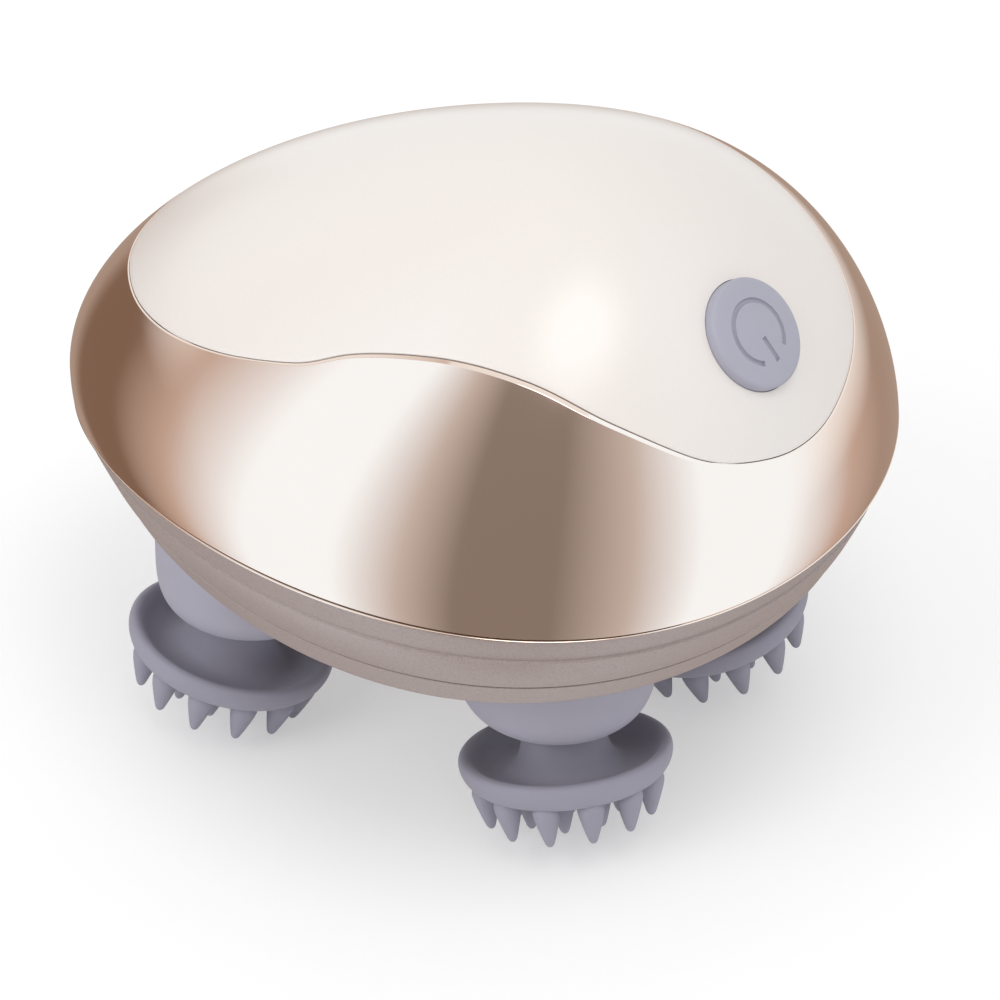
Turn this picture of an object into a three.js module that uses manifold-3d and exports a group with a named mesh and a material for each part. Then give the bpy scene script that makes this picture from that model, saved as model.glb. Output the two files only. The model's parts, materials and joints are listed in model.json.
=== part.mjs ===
// Scalp massager brush: an egg-shaped palm housing on four nodding silicone heads.
// Millimetres, +Z up, +X toward the button end. The claw tips stand on z = 0.
import * as THREE from 'three';
import { mergeVertices } from 'three/addons/utils/BufferGeometryUtils.js';
import Module from 'manifold-3d';

const wasm = await Module();
wasm.setup();

// Housing outline. Heights are measured from the widest section.
const halfLength = 56.5;
const halfWidth = 48.7;
const domeHeight = 44.6;
const domeLean = 15;
const domePower = 1.657;
const crownSoftShare = 0.16;
const eggShare = 0.235;
const partingDrop = 0.15;
const partingSlope = 2.55;
const partingBow = 4.8;
const tuckDepth = 9;
const tuckShare = 0.035;
const edgeDrop = 10.75;
const edgeShare = 0.928;
const bandShares = [0, 0.34, 0.74, 1];
const bandStep = 0.5;
const undersideRun = 13;
const undersideDrop = 8.1;

// Walls and clearances.
const shellWall = 3.2;
const coverWall = 1.6;
const floorWall = 2.2;
const fit = 0.3;
const coverFit = 0.4;
const ledgeWidth = 3;
const cutOverrun = 2;
const weldDistance = 0.0001;

// Cover outline, as shares of the half length and half width, starting at the tail.
const coverOutlineShares = [
  [-0.796, -0.06], [-0.78, -0.23], [-0.67, -0.41], [-0.504, -0.555], [-0.3, -0.655],
  [-0.088, -0.7], [0.058, -0.682], [0.25, -0.662], [0.473, -0.63], [0.66, -0.577],
  [0.818, -0.45], [0.908, -0.257], [0.938, -0.04], [0.908, 0.185], [0.832, 0.36],
  [0.71, 0.45], [0.53, 0.47], [0.265, 0.46], [0, 0.5], [-0.265, 0.515], [-0.51, 0.43],
  [-0.7, 0.22],
];

// Power button, its icon and the switch under it.
const buttonEndInset = 11.6;
const buttonY = -6;
const buttonRadius = 7.25;
const buttonProud = 0.9;
const buttonCrown = 0.35;
const buttonEdge = 0.45;
const buttonTravel = 0.8;
const buttonFlangeRadius = 8.9;
const buttonFlangeDepth = 4.2;
const buttonFlange = 1;
const buttonStemRadius = 1.5;
const buttonStem = 1;
const iconRadius = 4.4;
const iconLine = 0.6;
const iconDepth = 0.4;
const iconBar = 3.9;
const iconGapAngle = 0.95;
const collarWall = 1.4;
const collarSeat = 1.2;
const switchSide = 6;
const switchHeight = 3.4;
const plungerRadius = 1.6;
const plungerLength = 2.2;
const plungerProud = 1;
const switchBoardThickness = 1;

// Gear train.
const gearModule = 1;
const driveTeeth = 42;
const outputTeeth = 16;
const wormWheelTeeth = 24;
const gearWidth = 3.5;
const wormWheelWidth = 6;
const wormRadius = 4;
const wormLength = 14;
const toothRootShare = 0.26;
const tipShare = 0.2;
const dedendumShare = 1.2;
const addendumShare = 0.8;
const wormDedendumShare = 1.25;
const wormThreadShare = 1.8;
const wormThreadPower = 1.5;
const outputAngle = 37.5 * Math.PI / 180;
const gearCentreX = 1;
const driveHubRadius = 6;
const axleRadius = 1.5;
const axleStand = 2;
const shaftRadius = 3;
const bushWall = 1.7;
const bushLength = 5.5;
const trayThickness = 2;
const lidThickness = 1.6;
const postRadius = 2.6;
const postSide = 8;

// Rocking heads.
const headTilt = 15 * Math.PI / 180;
const pivotHeight = 11.6;
const crestDepth = 32.7;
const dishRadius = 14.1;
const dishRim = 1.1;
const dishDepth = 4;
const dishHollow = 2.6;
const hubRadius = 5.2;
const hubHeight = 2.6;
const insertTop = 5.3;
const insertWall = 1.4;
const pinRadius = 2;
const pinEnd = 0.6;
const clawLength = 5.5;
const clawRadius = 2.1;
const clawTipRadius = 0.45;
const clawWaistShare = 0.5;
const outerClaws = 12;
const innerClaws = 8;
const outerClawCircle = 11.4;
const innerClawCircle = 6.5;
const outerClawLeanShare = -0.1;
const innerClawLeanShare = 0;

// Boots that close the gap round each crank pin and reach down into the dish.
const bootBottom = 27.2;
const bootFoot = 10;
const bootHole = 8;
const bootShoulderDepth = 23.4;
const bootRadius = 13;
const bootWall = 1.3;
const bootLip = 1.6;
const bootLipThickness = 1;
const bootSeat = 12.5;
const seatWall = 2;

// Motor, battery and boards.
const motorWidth = 20;
const motorHeight = 15;
const motorLength = 25;
const motorShaftRadius = 1;
const motorStandoff = 1.2;
const cellRadius = 7.1;
const cellLength = 50;
const cellY = -21.4;
const cellX = 3;
const cellNubRadius = 2.5;
const cellNub = 1;
const cradleWall = 1.2;
const cradleEnd = 8;
const cradleWidthShare = 1.4;
const boardLength = 52;
const boardWidth = 34;
const boardThickness = 1.6;
const boardX = 1;
const boardY = 1;
const boardGap = 2.2;
const boardPostRadius = 2.2;
const boardPostShares = [[-0.42, 0.3], [-0.42, -0.3], [0.42, -0.24]];
const chipLength = 12;
const chipWidth = 9;
const chipHeight = 2;

// Charging socket at the tail.
const socketRadius = 3.4;
const socketLength = 7;
const socketFlange = 1;
const socketBore = 1.75;
const socketPinRadius = 0.6;
const socketHeight = 6.4;
const socketFloor = 1.2;

// Screws.
const screwRadius = 1.3;
const screwHeadRadius = 2.3;
const screwHead = 1.4;
const bossRadius = 3.6;
const bossStep = 1.5;
const bossSplit = 6.6;
const bossRise = 12;
const housingScrewLength = 17;
const bossEndInset = 13.5;
const bossSideInset = 11.2;
const smallScrewLength = 6;
const smallScrewRadius = 0.9;
const smallScrewHeadRadius = 1.8;
const smallScrewHead = 1;

// Counts of facets.
const roundTheBody = 44;
const upTheDome = 10;
const roundTheInside = 30;
const upTheInside = 6;
const aroundBoot = 20;
const aroundDish = 22;
const aroundSmall = 8;
const aroundClaw = 5;
const aroundIcon = 14;
const aroundWorm = 10;
const ringsPerWormPitch = 6;
const halvings = 40;
const pointsPerCoverShare = 2;
const probeStep = 0.05;

// Derived levels, places and radii.
const buttonX = halfLength - buttonEndInset;
const housingBossX = halfLength - bossEndInset;
const housingBossY = halfWidth - bossSideInset;
const edgeLevel = -edgeDrop;
const baseLevel = edgeLevel - undersideDrop;
const seatLevel = -bootSeat;
const lipTop = seatLevel + fit + bootLipThickness;
const trayBottom = lipTop + fit;
const trayTop = trayBottom + trayThickness;
const gearBottom = trayTop + fit * 2;
const gearTop = gearBottom + gearWidth;
const lidBottom = gearTop + fit * 2;
const lidTop = lidBottom + lidThickness;
const wormLevel = lidTop + motorStandoff + motorHeight / 2;
const wheelBottom = wormLevel - wormWheelWidth / 2;
const wheelTop = wormLevel + wormWheelWidth / 2;
const sinkLevel = baseLevel + floorWall + undersideDrop / 2;
const housingScrewStart = sinkLevel - screwHead - fit;
const housingScrewEnd = housingScrewStart + housingScrewLength;
const drivePitch = gearModule * driveTeeth / 2;
const outputPitch = gearModule * outputTeeth / 2;
const wheelPitch = gearModule * wormWheelTeeth / 2;
const outputReach = drivePitch + outputPitch;
const wormY = wheelPitch + wormRadius;
const pivotLevel = -crestDepth + pivotHeight * Math.cos(headTilt);
const boardLevel = wormLevel + motorHeight / 2 + boardGap;

const plated = new THREE.MeshStandardMaterial({ color: 0xc39a84, roughness: 0.16, metalness: 0.9 });
const pearl = new THREE.MeshStandardMaterial({ color: 0xeee8e2, roughness: 0.2, metalness: 0 });
const champagne = new THREE.MeshStandardMaterial({ color: 0x998c84, roughness: 0.5, metalness: 0.3 });
const silicone = new THREE.MeshStandardMaterial({ color: 0x8c8a94, roughness: 0.62, metalness: 0 });
const paleSilicone = new THREE.MeshStandardMaterial({ color: 0xa5a5b2, roughness: 0.6, metalness: 0 });
const buttonGrey = new THREE.MeshStandardMaterial({ color: 0xa3a3b0, roughness: 0.5, metalness: 0 });
const blackPlastic = new THREE.MeshStandardMaterial({ color: 0x26262a, roughness: 0.5, metalness: 0 });
const whitePlastic = new THREE.MeshStandardMaterial({ color: 0xdcdbd4, roughness: 0.45, metalness: 0 });
const steel = new THREE.MeshStandardMaterial({ color: 0xb4b6ba, roughness: 0.3, metalness: 1 });
const brass = new THREE.MeshStandardMaterial({ color: 0xc2a25c, roughness: 0.32, metalness: 1 });
const circuitGreen = new THREE.MeshStandardMaterial({ color: 0x1f6b42, roughness: 0.45, metalness: 0 });
const cellBlue = new THREE.MeshStandardMaterial({ color: 0x2f5f8f, roughness: 0.4, metalness: 0 });

// Solids

// A closed geometry becomes a solid that can be joined and cut.
function solidOf(geometry) {
  const bare = geometry.clone();
  bare.deleteAttribute('normal');
  bare.deleteAttribute('uv');
  const merged = mergeVertices(bare, weldDistance);
  const vertProperties = new Float32Array(merged.attributes.position.array);
  const triVerts = new Uint32Array(merged.index.array);
  return new wasm.Manifold(new wasm.Mesh({ numProp: 3, vertProperties, triVerts }));
}

// A solid goes back to a geometry with flat facets.
function geometryOf(solid) {
  const mesh = solid.getMesh();
  const geometry = new THREE.BufferGeometry();
  geometry.setAttribute('position', new THREE.BufferAttribute(mesh.vertProperties, 3));
  geometry.setIndex(new THREE.BufferAttribute(mesh.triVerts, 1));
  const flat = geometry.toNonIndexed();
  flat.computeVertexNormals();
  return flat;
}

// A closed skin over rings of equal count, with a fan to a point at each end.
function loft(rings, startPoint, endPoint) {
  const sides = rings[0].length;
  const points = [];
  rings.forEach((ring) => points.push(...ring));
  const start = points.push(startPoint) - 1;
  const end = points.push(endPoint) - 1;
  const faces = [];
  const last = (rings.length - 1) * sides;
  for (let side = 0; side < sides; side += 1) {
    const next = (side + 1) % sides;
    faces.push(start, next, side);
    faces.push(end, last + side, last + next);
    for (let ring = 0; ring + 1 < rings.length; ring += 1) {
      const low = ring * sides;
      const high = low + sides;
      faces.push(low + side, low + next, high + next);
      faces.push(low + side, high + next, high + side);
    }
  }
  const geometry = new THREE.BufferGeometry().setFromPoints(points);
  geometry.setIndex(faces);
  return solidOf(geometry);
}

// A turned solid. The profile is a list of [radius, height] that closes on itself.
function turned(profile, sides) {
  const outline = profile.map(([radius, height]) => new THREE.Vector2(radius, height));
  if (THREE.ShapeUtils.area(outline) < 0) {
    outline.reverse();
  }
  outline.push(outline[0].clone());
  return solidOf(new THREE.LatheGeometry(outline, sides)).rotate([90, 0, 0]);
}

function disc(radius, bottom, top, sides) {
  const geometry = new THREE.CylinderGeometry(radius, radius, top - bottom, sides);
  return solidOf(geometry).rotate([90, 0, 0]).translate([0, 0, (bottom + top) / 2]);
}

function sleeve(inner, outer, bottom, top, sides) {
  return turned([[inner, bottom], [outer, bottom], [outer, top], [inner, top]], sides);
}

function block(sizeX, sizeY, sizeZ, x, y, z) {
  return solidOf(new THREE.BoxGeometry(sizeX, sizeY, sizeZ)).translate([x, y, z]);
}

// A flat outline in the XY plane, given as points, pulled up from bottom to top.
function prism(points, bottom, top) {
  const shape = new THREE.Shape(points.map(([x, y]) => new THREE.Vector2(x, y)));
  const geometry = new THREE.ExtrudeGeometry(shape, { depth: top - bottom, bevelEnabled: false });
  return solidOf(geometry).translate([0, 0, bottom]);
}

// A solid made about +Z is turned so that its +Z follows the axis, and set at the place.
function alongAxis(solid, axis, place) {
  const turn = new THREE.Quaternion().setFromUnitVectors(new THREE.Vector3(0, 0, 1), axis);
  const matrix = new THREE.Matrix4().compose(place, turn, new THREE.Vector3(1, 1, 1));
  return solid.transform(matrix.elements);
}

// Housing surface

// The egg-shaped plan at a scale, drawn in by an inset.
function eggPoint(turn, scale, inset, z, shift) {
  const x = (halfLength * scale - inset) * Math.cos(turn);
  const y = (halfWidth * scale - inset) * Math.sin(turn) * (1 + eggShare * Math.cos(turn));
  return new THREE.Vector3(x + shift, y, z);
}

function eggRing(scale, inset, level, sides, shift = 0) {
  const ring = [];
  for (let side = 0; side < sides; side += 1) {
    const turn = side / sides * Math.PI * 2;
    const z = typeof level === 'function' ? level(Math.cos(turn)) : level;
    ring.push(eggPoint(turn, scale, inset, z, shift));
  }
  return ring;
}

// The parting line dips toward both ends of the housing, most at the tail.
function partingLevel(along) {
  return -partingDrop + partingSlope * along - partingBow * (along * along - 0.5);
}

// Below its widest section the housing tucks in.
function tuckScale(level) {
  return level < 0 ? 1 - tuckShare * (level / tuckDepth) ** 2 : 1;
}

// How high the dome stands where its plan has drawn in to a share of the full size.
function domeRise(scale) {
  const soft = crownSoftShare ** domePower;
  const bend = (scale * scale + crownSoftShare ** 2) ** (domePower / 2) - soft;
  const whole = (1 + crownSoftShare ** 2) ** (domePower / 2) - soft;
  return Math.max(0, 1 - bend / whole) ** (1 / domePower);
}

function domeScale(climb) {
  return Math.cos(climb) ** (2 / domePower);
}

function domeRings(inset, sides, steps) {
  const rings = [];
  for (let step = 0; step < steps; step += 1) {
    const climb = step / steps * Math.PI / 2;
    const scale = domeScale(climb);
    const shift = domeLean * Math.sin(climb) ** 2;
    const z = (domeHeight - inset) * domeRise(scale);
    const ring = [];
    for (let side = 0; side < sides; side += 1) {
      const turn = side / sides * Math.PI * 2;
      const point = eggPoint(turn, 1, inset, z, 0);
      ring.push(new THREE.Vector3(point.x * scale + shift, point.y * scale, z));
    }
    rings.push(ring);
  }
  return rings;
}

// The dome as a solid, from a lower ring up to the crown.
function domeSolid(inset, lowerRings, sides, steps) {
  const rings = [...lowerRings, ...domeRings(inset, sides, steps)];
  const floor = lowerRings[0].reduce((sum, point) => sum + point.z, 0) / sides;
  const top = new THREE.Vector3(domeLean, 0, domeHeight - inset);
  return loft(rings, new THREE.Vector3(0, 0, floor), top);
}

// The height of the outer dome above a place in the plan.
function domeLevelAt(x, y, inset = 0) {
  let low = 0;
  let high = Math.PI / 2;
  for (let round = 0; round < halvings; round += 1) {
    const climb = (low + high) / 2;
    const scale = domeScale(climb);
    const alongX = (x - domeLean * Math.sin(climb) ** 2) / ((halfLength - inset) * scale);
    const width = (halfWidth - inset) * scale * (1 + eggShare * alongX);
    const inside = Math.abs(alongX) < 1 && alongX ** 2 + (y / width) ** 2 < 1;
    low = inside ? climb : low;
    high = inside ? high : climb;
  }
  return (domeHeight - inset) * domeRise(domeScale(low));
}

function domeNormalAt(x, y) {
  const slopeX = (domeLevelAt(x + probeStep, y) - domeLevelAt(x - probeStep, y)) / (2 * probeStep);
  const slopeY = (domeLevelAt(x, y + probeStep) - domeLevelAt(x, y - probeStep)) / (2 * probeStep);
  return new THREE.Vector3(-slopeX, -slopeY, 1).normalize();
}

// Cover outline

const coverCurve = new THREE.CatmullRomCurve3(
  coverOutlineShares.map(([alongShare, acrossShare]) => (
    new THREE.Vector3(alongShare * halfLength, acrossShare * halfWidth, 0)
  )),
  true,
);
const coverPoints = coverCurve.getPoints(coverOutlineShares.length * pointsPerCoverShare).slice(0, -1);

function coverOutline(growth) {
  const count = coverPoints.length;
  return coverPoints.map((point, index) => {
    const before = coverPoints[(index + count - 1) % count];
    const after = coverPoints[(index + 1) % count];
    const along = after.clone().sub(before).normalize();
    return new THREE.Vector3(point.x + along.y * growth, point.y - along.x * growth, 0);
  });
}

// What lies inside the cover's outline, with walls that stand square to the dome.
function coverCutter(growth) {
  const outline = coverOutline(growth);
  const reach = shellWall + cutOverrun;
  const skyLevel = domeHeight + cutOverrun * 2;
  const inner = [];
  const outer = [];
  const sky = [];
  outline.forEach(({ x, y }) => {
    const place = new THREE.Vector3(x, y, domeLevelAt(x, y));
    const normal = domeNormalAt(x, y);
    inner.push(place.clone().addScaledVector(normal, -reach));
    outer.push(place.clone().addScaledVector(normal, cutOverrun));
    sky.push(new THREE.Vector3(x + normal.x * cutOverrun, y + normal.y * cutOverrun, skyLevel));
  });
  const middle = new THREE.Vector3(domeLean / 2, 0, domeHeight / 4);
  return loft([inner, outer, sky], middle, new THREE.Vector3(domeLean / 2, 0, skyLevel));
}

// Button frame

const buttonPlace = new THREE.Vector3(buttonX, buttonY, domeLevelAt(buttonX, buttonY));
const buttonAxis = domeNormalAt(buttonX, buttonY);
const onButtonAxis = (solid) => alongAxis(solid, buttonAxis, buttonPlace);
const stemEnd = -buttonFlangeDepth - buttonFlange - buttonStem;
const plungerTop = stemEnd - fit;
const switchTop = plungerTop - plungerProud;
const switchBottom = switchTop - switchHeight;
const switchBoardTop = switchBottom - fit;
const switchBoardBottom = switchBoardTop - switchBoardThickness;
const collarEnd = switchBoardBottom - fit - collarSeat;
const collarInner = buttonFlangeRadius + fit * 2;
const collarOuter = collarInner + collarWall;

// Housing shells

const screwPlaces = [
  [housingBossX, 0],
  [-housingBossX, 0],
  [gearCentreX, housingBossY],
  [gearCentreX, -housingBossY],
];

// Everything below the parting line, moved up or down by a share of the gap.
function belowParting(rise) {
  const reach = halfLength + cutOverrun;
  const bottom = baseLevel - cutOverrun;
  const points = [[-reach, bottom], [reach, bottom]];
  const steps = roundTheBody / 2;
  for (let step = 0; step <= steps; step += 1) {
    const x = reach * (1 - 2 * step / steps);
    points.push([x, partingLevel(x / halfLength) + rise]);
  }
  return prism(points, -halfLength, halfLength).rotate([90, 0, 0]);
}

const skirtRings = [-tuckDepth, -tuckDepth * 2 / 3, -tuckDepth / 3].map((level) => (
  eggRing(tuckScale(level), 0, level, roundTheBody)
));
const outerDome = domeSolid(0, skirtRings, roundTheBody, upTheDome);
const upperBody = outerDome.subtract(belowParting(fit / 2));
const hollowSkirt = [eggRing(1, shellWall, edgeLevel - cutOverrun, roundTheInside)];
const hollowDome = domeSolid(shellWall, hollowSkirt, roundTheInside, upTheInside);
const ledgeDome = domeSolid(
  coverWall + coverFit,
  [eggRing(1, coverWall + coverFit, edgeLevel, roundTheInside)],
  roundTheInside,
  upTheInside,
);
const coverHollow = domeSolid(
  coverWall,
  [eggRing(1, coverWall, edgeLevel, roundTheInside)],
  roundTheInside,
  upTheInside,
);

function upperBoss([x, y]) {
  const reach = Math.hypot(x - gearCentreX, y);
  const outward = [(x - gearCentreX) / reach, y / reach];
  const middle = -bossSplit + fit + bossRise / 2;
  const post = disc(bossRadius, -bossSplit + fit, -bossSplit + fit + bossRise, aroundSmall);
  const web = block(halfWidth, bossRadius, bossRise, halfWidth / 2, 0, middle)
    .rotate([0, 0, Math.atan2(outward[1], outward[0]) * 180 / Math.PI]);
  return post.translate([x, y, 0]).add(web.translate([x, y, 0]).intersect(upperBody));
}

function socketAt(solid) {
  const wallX = -halfLength * domeScaleAtLevel(socketHeight) + socketFlange;
  return solid.rotate([0, 90, 0]).translate([wallX, 0, socketHeight]);
}

// The plan scale of the dome at a height, found by halving.
function domeScaleAtLevel(level) {
  let low = 0;
  let high = 1;
  for (let round = 0; round < halvings; round += 1) {
    const scale = (low + high) / 2;
    const above = domeHeight * domeRise(scale) > level;
    low = above ? scale : low;
    high = above ? high : scale;
  }
  return low;
}

let upperShell = upperBody.subtract(hollowDome);
screwPlaces.forEach((place) => {
  upperShell = upperShell.add(upperBoss(place));
});
screwPlaces.forEach(([x, y]) => {
  const hole = disc(screwRadius + fit, -bossSplit - cutOverrun, housingScrewEnd + fit, aroundSmall);
  upperShell = upperShell.subtract(hole.translate([x, y, 0]));
});
upperShell = upperShell.subtract(coverCutter(coverFit).subtract(ledgeDome));
upperShell = upperShell.subtract(coverCutter(-ledgeWidth));
upperShell = upperShell.subtract(onButtonAxis(
  disc(collarOuter + fit * 2, collarEnd - cutOverrun, -coverWall, aroundBoot),
));
upperShell = upperShell.subtract(socketAt(
  disc(socketRadius + fit, -socketLength, socketLength, aroundSmall),
));

let topCover = outerDome.intersect(coverCutter(0)).subtract(coverHollow);
const collar = onButtonAxis(sleeve(collarInner, collarOuter, collarEnd, 0, aroundBoot));
const collarRim = onButtonAxis(sleeve(
  collarInner - collarWall,
  collarInner + collarWall / 2,
  collarEnd,
  collarEnd + collarSeat,
  aroundBoot,
));
topCover = topCover.add(collar.intersect(domeSolid(
  coverWall / 2,
  [eggRing(1, coverWall / 2, edgeLevel, roundTheInside)],
  roundTheInside,
  upTheInside,
)));
topCover = topCover.add(collarRim);
topCover = topCover.subtract(onButtonAxis(
  disc(buttonRadius + fit, -buttonFlangeDepth, coverWall * 2, aroundBoot),
));

// A ring of the lower shell: it starts flush with the housing and draws in toward the edge.
function bandRing(depthShare, inset, level) {
  const ring = [];
  for (let side = 0; side < roundTheBody; side += 1) {
    const turn = side / roundTheBody * Math.PI * 2;
    const along = Math.cos(turn);
    const top = tuckScale(partingLevel(along));
    const scale = top + (edgeShare - top) * depthShare;
    ring.push(eggPoint(turn, scale, inset, level(along), 0));
  }
  return ring;
}

// Lower shell: three stepped bands down to the edge, then an underside that slopes to the base.
function bandRings() {
  const rings = [];
  for (let band = 0; band + 1 < bandShares.length; band += 1) {
    [bandShares[band], bandShares[band + 1]].forEach((depthShare) => {
      const level = (along) => partingLevel(along) * (1 - depthShare) + edgeLevel * depthShare;
      rings.push(bandRing(depthShare, bandStep * band, level));
    });
  }
  return rings;
}

const lowestInset = bandStep * (bandShares.length - 2);
const baseInset = lowestInset + undersideRun;
const floorInset = baseInset + floorWall / 2;
const wallInset = lowestInset + shellWall;
const floorLevel = baseLevel + floorWall;
const wallLevel = edgeLevel + floorWall;
const lowerOuter = loft(
  [
    bandRing(0, 0, (along) => partingLevel(along) + cutOverrun),
    ...bandRings(),
    eggRing(edgeShare, baseInset, baseLevel, roundTheBody),
  ].reverse(),
  new THREE.Vector3(0, 0, baseLevel),
  new THREE.Vector3(0, 0, cutOverrun),
).intersect(belowParting(-fit / 2));
const lowerHollow = loft(
  [
    eggRing(edgeShare, floorInset, floorLevel, roundTheInside),
    eggRing(edgeShare, wallInset, wallLevel, roundTheInside),
    eggRing(1, wallInset + bandStep, edgeLevel / 2, roundTheInside),
    eggRing(1, shellWall, cutOverrun * 2, roundTheInside),
  ],
  new THREE.Vector3(0, 0, floorLevel),
  new THREE.Vector3(0, 0, cutOverrun * 2),
);

// How far the hollow of the lower shell draws in from the edge's outline at a level.
function hollowInsetAt(level) {
  const climb = Math.min(1, (level - floorLevel) / (wallLevel - floorLevel));
  return floorInset + (wallInset - floorInset) * climb;
}

const headPlaces = [
  { name: 'front_right', angle: -outputAngle },
  { name: 'back_right', angle: outputAngle },
  { name: 'back_left', angle: Math.PI - outputAngle },
  { name: 'front_left', angle: Math.PI + outputAngle },
].map(({ name, angle }) => ({
  name,
  angle,
  x: gearCentreX + outputReach * Math.cos(angle),
  y: outputReach * Math.sin(angle),
}));

let lowerShell = lowerOuter.subtract(lowerHollow);
headPlaces.forEach(({ x, y }) => {
  const seat = disc(bootRadius + fit + seatWall, baseLevel, seatLevel, aroundBoot).translate([x, y, 0]);
  lowerShell = lowerShell.add(seat.intersect(lowerOuter));
});
screwPlaces.forEach(([x, y]) => {
  const foot = disc(bossRadius + bossStep, baseLevel, trayBottom - fit, aroundSmall);
  const stem = disc(bossRadius, baseLevel, -bossSplit, aroundSmall);
  const boss = foot.add(stem).translate([x, y, 0]).intersect(lowerOuter);
  const bore = disc(screwRadius + fit, baseLevel - cutOverrun, -bossSplit + cutOverrun, aroundSmall);
  const sink = disc(screwHeadRadius + fit, baseLevel - cutOverrun, sinkLevel, aroundSmall);
  lowerShell = lowerShell.add(boss).subtract(bore.add(sink).translate([x, y, 0]));
});
headPlaces.forEach(({ x, y }) => {
  const hole = disc(bootRadius + fit, baseLevel - cutOverrun, seatLevel + cutOverrun, aroundBoot);
  const pocket = disc(bootRadius + bootLip + fit, seatLevel, trayBottom, aroundBoot);
  const gearRoom = disc(outputPitch + gearModule + fit, gearBottom - fit, gearTop + fit, aroundBoot);
  lowerShell = lowerShell.subtract(hole.add(pocket).add(gearRoom).translate([x, y, 0]));
});

// Gears

function gearOutline(teeth, firstTooth) {
  const pitch = gearModule * teeth / 2;
  const root = pitch - gearModule * dedendumShare;
  const tip = pitch + gearModule * addendumShare;
  const step = Math.PI * 2 / teeth;
  const points = [];
  for (let tooth = 0; tooth < teeth; tooth += 1) {
    const middle = firstTooth + tooth * step;
    const rootHalf = step * toothRootShare;
    const tipHalf = step * tipShare / 2;
    [[-rootHalf, root], [-tipHalf, tip], [tipHalf, tip], [rootHalf, root]].forEach(([turn, radius]) => {
      points.push([radius * Math.cos(middle + turn), radius * Math.sin(middle + turn)]);
    });
  }
  return points;
}

const driveStep = Math.PI * 2 / driveTeeth;
const outputStep = Math.PI * 2 / outputTeeth;

// The first tooth of an output gear, so that a gap faces the drive gear's tooth.
function outputFirstTooth(angle) {
  const offset = Math.round(angle / driveStep) * driveStep - angle;
  return angle + Math.PI - offset * drivePitch / outputPitch - outputStep / 2;
}

const driveAxleBore = axleRadius + fit;
const driveGear = prism(gearOutline(driveTeeth, 0), gearBottom, gearTop)
  .add(disc(driveHubRadius, gearTop - gearWidth / 2, wheelBottom + wormWheelWidth / 2, aroundSmall * 2))
  .add(prism(gearOutline(wormWheelTeeth, 0), wheelBottom, wheelTop))
  .subtract(disc(driveAxleBore, gearBottom - cutOverrun, wheelTop + cutOverrun, aroundSmall))
  .translate([gearCentreX, 0, 0]);

// A one-start worm: its radius follows a thread that winds once in a pitch.
function wormSolid() {
  const pitch = gearModule * Math.PI;
  const steps = Math.round(wormLength / pitch * ringsPerWormPitch);
  const rings = [];
  for (let step = 0; step <= steps; step += 1) {
    const along = (step / steps - 0.5) * wormLength;
    const ring = [];
    for (let side = 0; side < aroundWorm; side += 1) {
      const turn = side / aroundWorm * Math.PI * 2;
      const phase = along / pitch - turn / (Math.PI * 2) + 0.5;
      const wave = 0.5 - 0.5 * Math.cos(phase * Math.PI * 2);
      const thread = gearModule * wormThreadShare * wave ** wormThreadPower;
      const radius = wormRadius - gearModule * wormDedendumShare + thread;
      ring.push(new THREE.Vector3(along, radius * Math.sin(turn), radius * -Math.cos(turn)));
    }
    rings.push(ring);
  }
  const end = wormLength / 2;
  return loft(rings, new THREE.Vector3(-end, 0, 0), new THREE.Vector3(end, 0, 0));
}

const motorNearY = wormY - motorWidth / 2;
const wheelReach = wheelPitch + gearModule;
const motorStart = gearCentreX + Math.sqrt(wheelReach ** 2 - motorNearY ** 2) + fit * 2;
const wormShaftEnd = motorStart + motorLength / 3;
const wormBody = wormSolid()
  .rotate([90, 0, 0])
  .add(disc(motorShaftRadius, 0, wormShaftEnd - gearCentreX, aroundSmall).rotate([0, 90, 0]))
  .translate([gearCentreX, wormY, wormLevel]);

const motorMiddle = motorStart + motorLength / 2;
const motorRound = disc(motorWidth / 2, -motorLength / 2, motorLength / 2, aroundSmall * 2)
  .rotate([0, 90, 0]);
const motorBody = motorRound
  .intersect(block(motorLength + cutOverrun, motorWidth + cutOverrun, motorHeight, 0, 0, 0))
  .subtract(disc(motorShaftRadius + fit, -motorLength, 0, aroundSmall).rotate([0, 90, 0]))
  .translate([motorMiddle, wormY, wormLevel]);

// Tray and lid of the gearbox

function plate(inset, bottom, top) {
  const ring = eggRing(edgeShare, inset, 0, roundTheInside);
  return prism(ring.map(({ x, y }) => [x, y]), bottom, top);
}

const postReach = (drivePitch + halfWidth * edgeShare - wallInset) / 2;
const postPlaces = [
  [gearCentreX + postSide, postReach],
  [gearCentreX - postSide, postReach],
  [gearCentreX - postSide, -postReach],
  [gearCentreX + postSide, -postReach],
];
postPlaces.forEach(([x, y]) => {
  const postRoom = disc(postRadius + fit, trayBottom, lidBottom, aroundSmall);
  lowerShell = lowerShell.subtract(postRoom.translate([x, y, 0]));
});
const trayInset = hollowInsetAt(trayBottom) + fit;
const lidInset = wallInset + fit;

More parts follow.
